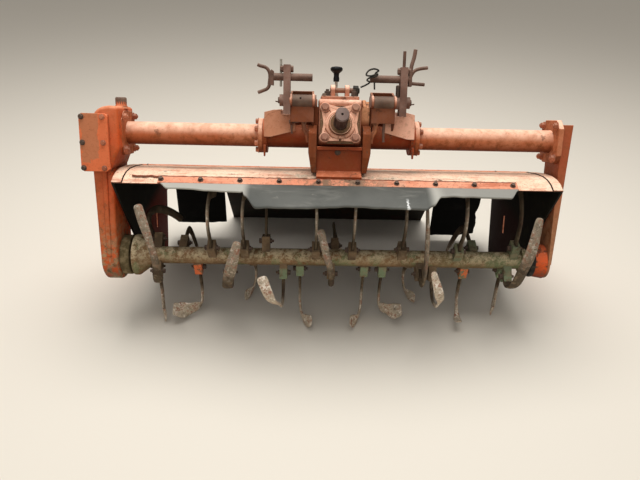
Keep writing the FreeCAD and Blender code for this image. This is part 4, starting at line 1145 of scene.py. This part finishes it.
def grips():
    """The welded grips that pull the hitch pins out, and the spring clip through the right pin."""
    x = -GRIP_LEFT
    mesh = bmesh.new()
    slab(mesh, at_pin(x, (0, -8, -22), (0, -8, 14), (-6, -8, 18), (-10, -8, 12), (-10, -8, -20)), (0, 16, 0))
    wire(mesh, at_pin(x, (-12, 0, -20), (-10, 0, 0), (-12, 0, 12), (-20, 0, 22), (-34, 0, 26), (-42, 0, 29)),
         4.6)
    wire(mesh, at_pin(x, (-10, 0, -4), (-11, 0, -18), (-16, 0, -29), (-28, 0, -35), (-41, 0, -40)), 4.6)
    piece("pin_grip_left", mesh, PIN, "arm_left", bevel=0.001, replaces=["pin_fork_left"])
    x = GRIP_RIGHT
    mesh = bmesh.new()
    block(mesh, *at_pin(x, (-4, -9, -17), (4, 9, 22)))
    wire(mesh, at_pin(x, (1, 0, 8), (8, 0, 20), (20, 0, 27), (44, 0, 31)), 4.6)
    wire(mesh, at_pin(x, (2, 0, -9), (18, 0, -10), (38, 0, -11)), 4.6)
    wire(mesh, at_pin(x, (1, 4, 10), (3, 6, 34), (9, 9, 56), (12, 10, 76)), 5.2)
    piece("pin_grip_right", mesh, PIN, "arm_right", bevel=0.001, replaces=["pin_handle_right"])
    x = PIN_INNER + 9
    mesh = bmesh.new()
    wire(mesh, at_pin(x, (2, -11, -26), (2, 0, 0), (4, 0, 14), (12, -2, 21), (0, -2, 25), (-14, -4, 20),
                      (-20, -8, 9), (-8, -13, 7), (8, -13, 12), (4, -13, 6), (-12, -12, 2), (-18, -12, -4),
                      (-11, -12, -9), (-21, -12, -16), (-34, -12, -22)), 2.2, 8, 5)
    piece("spring_clip_wire", mesh, SEAL, "arm_right", replaces=["spring_clip_right"])


grips()


def hitch_fittings():
    """The pivots' rusty sleeves, and the nuts, washers and keeper bolts about the arms."""
    for side, name, end, arm in ((-1, "left", SLEEVE_END_LEFT, ARM_LEFT),
                                 (1, "right", SLEEVE_END_RIGHT, ARM_RIGHT)):
        out = RIGHT * side
        mesh = bmesh.new()
        lathe(mesh, [(14.6, 5.2), (15.4, 5.2), (15.4, SLEEVE_LENGTH - 5.2), (14.6, SLEEVE_LENGTH - 5.2)],
              (side * (end - SLEEVE_LENGTH), SLEEVE_Y, SLEEVE_Z), out, 40)
        piece("sleeve_" + name, mesh, SLEEVE)
        mesh = bmesh.new()
        for gap in (-2, SLEEVE_LENGTH - 4):
            lathe(mesh, [(14, 0), (17.2, 0), (17.2, 6), (14, 6)],
                  (side * (end - SLEEVE_LENGTH + gap), SLEEVE_Y, SLEEVE_Z), out, 40)
        piece("sleeve_rims_" + name, mesh, GEAR, bevel=0.001)
        mesh = bmesh.new()
        last = arm + ARM_THICK
        disc(mesh, (side * (last + 10), SLEEVE_Y, SLEEVE_Z), out, 8, 4, 20)
        wire(mesh, [(side * (last + 11), SLEEVE_Y - 3, SLEEVE_Z - 2),
                    (side * (last + 14), SLEEVE_Y - 10, SLEEVE_Z - 4),
                    (side * (last + 20), SLEEVE_Y - 13, SLEEVE_Z - 3)], 1.8, 8)
        hex_bolt(mesh, (side * last, SLEEVE_Y, PIN_Z + 20), out, across=15, head=9, washer=False)
        hex_bolt(mesh, (side * arm, SLEEVE_Y, PIN_Z + 20), -out, across=15, head=7, washer=False)
        piece("arm_nuts_" + name, mesh, PIN, "arm_" + name, bevel=0.0008)
    # Painted shade: a dark disc standing for the oil hole
    mesh = bmesh.new()
    disc(mesh, (-104, SLEEVE_Y - 12.4, SLEEVE_Z + 6), FRONT, 2.6, 2.6, 16)
    piece("sleeve_oil_hole", mesh, GAP)
    mesh = bmesh.new()
    block(mesh, (ARM_RIGHT - 9, SLEEVE_Y - 12, SLEEVE_Z + 4), (ARM_RIGHT - 0.5, SLEEVE_Y + 8, SLEEVE_Z + 44))
    piece("arm_stop_block", mesh, DARK_BOLT, "arm_right", bevel=0.003)
    lid = GEAR_TOP + 8
    bolts("lid_bolts", [(-34, -36, lid), (37, -36, lid)], UP, DARK_BOLT, across=15, head=11, stub=5)
    bolts("lid_screws", [(-42, -44, lid), (42, 48, lid), (-42, 48, lid)], UP, BOLT, across=10, head=5)
    bolts("pedestal_bolt", [(-4, -64, 303)], FRONT, DARK_BOLT, across=11, head=4)


hitch_fittings()


def shield_corners():
    """The shields' upper outer corners, which stand up crisp."""
    for side, name, finish in ((-1, "left", SHIELD), (1, "right", SHIELD_RIGHT_PAINT_AND_LIGHT)):
        mesh = bmesh.new()
        outline = [(side * x, -44.3 - 0.11 * drop, BEAM_HEIGHT + 72 - drop) for x, drop in
                   ((150, 1), (186, 14), (199.6, 26), (199.6, 9), (176, 3))]
        slab(mesh, outline, (0, 9, 0))
        piece("shield_corner_" + name, mesh, finish, bevel=0.001)


shield_corners()


def bearing_seal():
    """The worn rubber seal in front of the right bearing."""
    mesh = bmesh.new()
    profile = [(20, -1), (39, -1), (44.5, 1.5), (46, 7), (45.5, 13), (43, 14)]
    lathe(mesh, profile, (BEARING_X, 0, 0), RIGHT, 48)
    piece("bearing_seal", mesh, SEAL)


bearing_seal()


def hanging_pins():
    """The linch pins and the bent rods that hang under the shields beside the gear housing."""
    mesh = bmesh.new()
    wire(mesh, [(-132, -50, 378), (-112, -54, 384), (-100, -50, 386)], 6.5, 12)
    wire(mesh, [(-126, -60, 380), (-127, -62, 366), (-126, -60, 350)], 2.6, 8)
    wire(mesh, [(118, -54, 386), (116, -58, 360), (117, -56, 332)], 3.6, 10)
    piece("hanging_pins", mesh, PIN)
    mesh = bmesh.new()
    for turn in (-1, 1):
        wire(mesh, [(turn * 100, -52, 384), (turn * 96, -58, 370), (turn * 94, -60, 358),
                    (turn * 88, -60, 346), (turn * 84, -60, 328)], 4.2, 8)
        wire(mesh, [(turn * 88, -52, 384), (turn * 92, -60, 366), (turn * 84, -61, 352),
                    (turn * 86, -60, 336)], 3.2, 8)
    piece("hanging_straps", mesh, STRAP)
    for side, name in SIDES:
        mesh = bmesh.new()
        x = side * (JOINT_X - 6)
        slab(mesh, [(x - 4, -46, 318), (x + 4, -46, 318), (x + 2, -46, 288), (x - 2, -46, 288)], (0, 9, 0))
        piece("joint_spike_" + name, mesh, DARK_ORANGE_AND_SHADE, bevel=0.001)


hanging_pins()

# Floor, lights and the camera at the photograph's angle
floor_mesh = bmesh.new()
bmesh.ops.create_grid(floor_mesh, x_segments=1, y_segments=1, size=30)
floor_data = bpy.data.meshes.new("floor")
floor_mesh.to_mesh(floor_data)
floor_mesh.free()
floor = bpy.data.objects.new("floor", floor_data)
bpy.context.scene.collection.objects.link(floor)
floor_paint = bpy.data.materials.new("floor_pale")
floor_paint.use_nodes = True
floor_paint.node_tree.nodes["Principled BSDF"].inputs["Base Color"].default_value = tint(226, 218, 204)
floor_paint.node_tree.nodes["Principled BSDF"].inputs["Roughness"].default_value = 0.9
floor_data.materials.append(floor_paint)

world = bpy.data.worlds.new("studio")
world.use_nodes = True
world.node_tree.nodes["Background"].inputs["Color"].default_value = (1.0, 0.97, 0.93, 1.0)
world.node_tree.nodes["Background"].inputs["Strength"].default_value = 0.36
bpy.context.scene.world = world


def soft_lamp(name, place, aim, size, power):
    lamp = bpy.data.lights.new(name, "AREA")
    lamp.shape = "DISK"
    lamp.size = size
    lamp.energy = power
    made = bpy.data.objects.new(name, lamp)
    made.location = place
    made.rotation_euler = (Vector(aim) - Vector(place)).to_track_quat("-Z", "Y").to_euler()
    bpy.context.scene.collection.objects.link(made)


soft_lamp("top_light", (-0.05, 0.15, 3.2), (0, 0, 0.3), 3.0, 108)
soft_lamp("front_light", (-0.5, -3.0, 2.2), (0, 0, 0.3), 2.0, 15)

CAMERA_PLACE = Vector((-0.0796, -1.3871, 1.0885))
CAMERA_YAW = math.radians(1.45)
CAMERA_PITCH = math.radians(30.22)
CAMERA_ROLL = math.radians(1.73)
FOCAL_PIXELS = 569.2
ahead = Vector((math.sin(CAMERA_YAW) * math.cos(CAMERA_PITCH), math.cos(CAMERA_YAW) * math.cos(CAMERA_PITCH),
                -math.sin(CAMERA_PITCH)))
level = Vector((math.cos(CAMERA_YAW), -math.sin(CAMERA_YAW), 0))
over = level.cross(ahead)
side = level * math.cos(CAMERA_ROLL) + over * math.sin(CAMERA_ROLL)
over = over * math.cos(CAMERA_ROLL) - level * math.sin(CAMERA_ROLL)
camera = bpy.data.cameras.new("camera")
camera.sensor_width = 36
camera.lens = FOCAL_PIXELS * 36 / 640
eye = bpy.data.objects.new("camera", camera)
turned = Matrix((side, over, -ahead)).transposed().to_4x4()
eye.matrix_world = Matrix.Translation(Vector((AXLE.x, AXLE.y, 0)) + CAMERA_PLACE) @ turned
bpy.context.scene.collection.objects.link(eye)
bpy.context.scene.camera = eye
bpy.context.scene.view_settings.view_transform = "Standard"
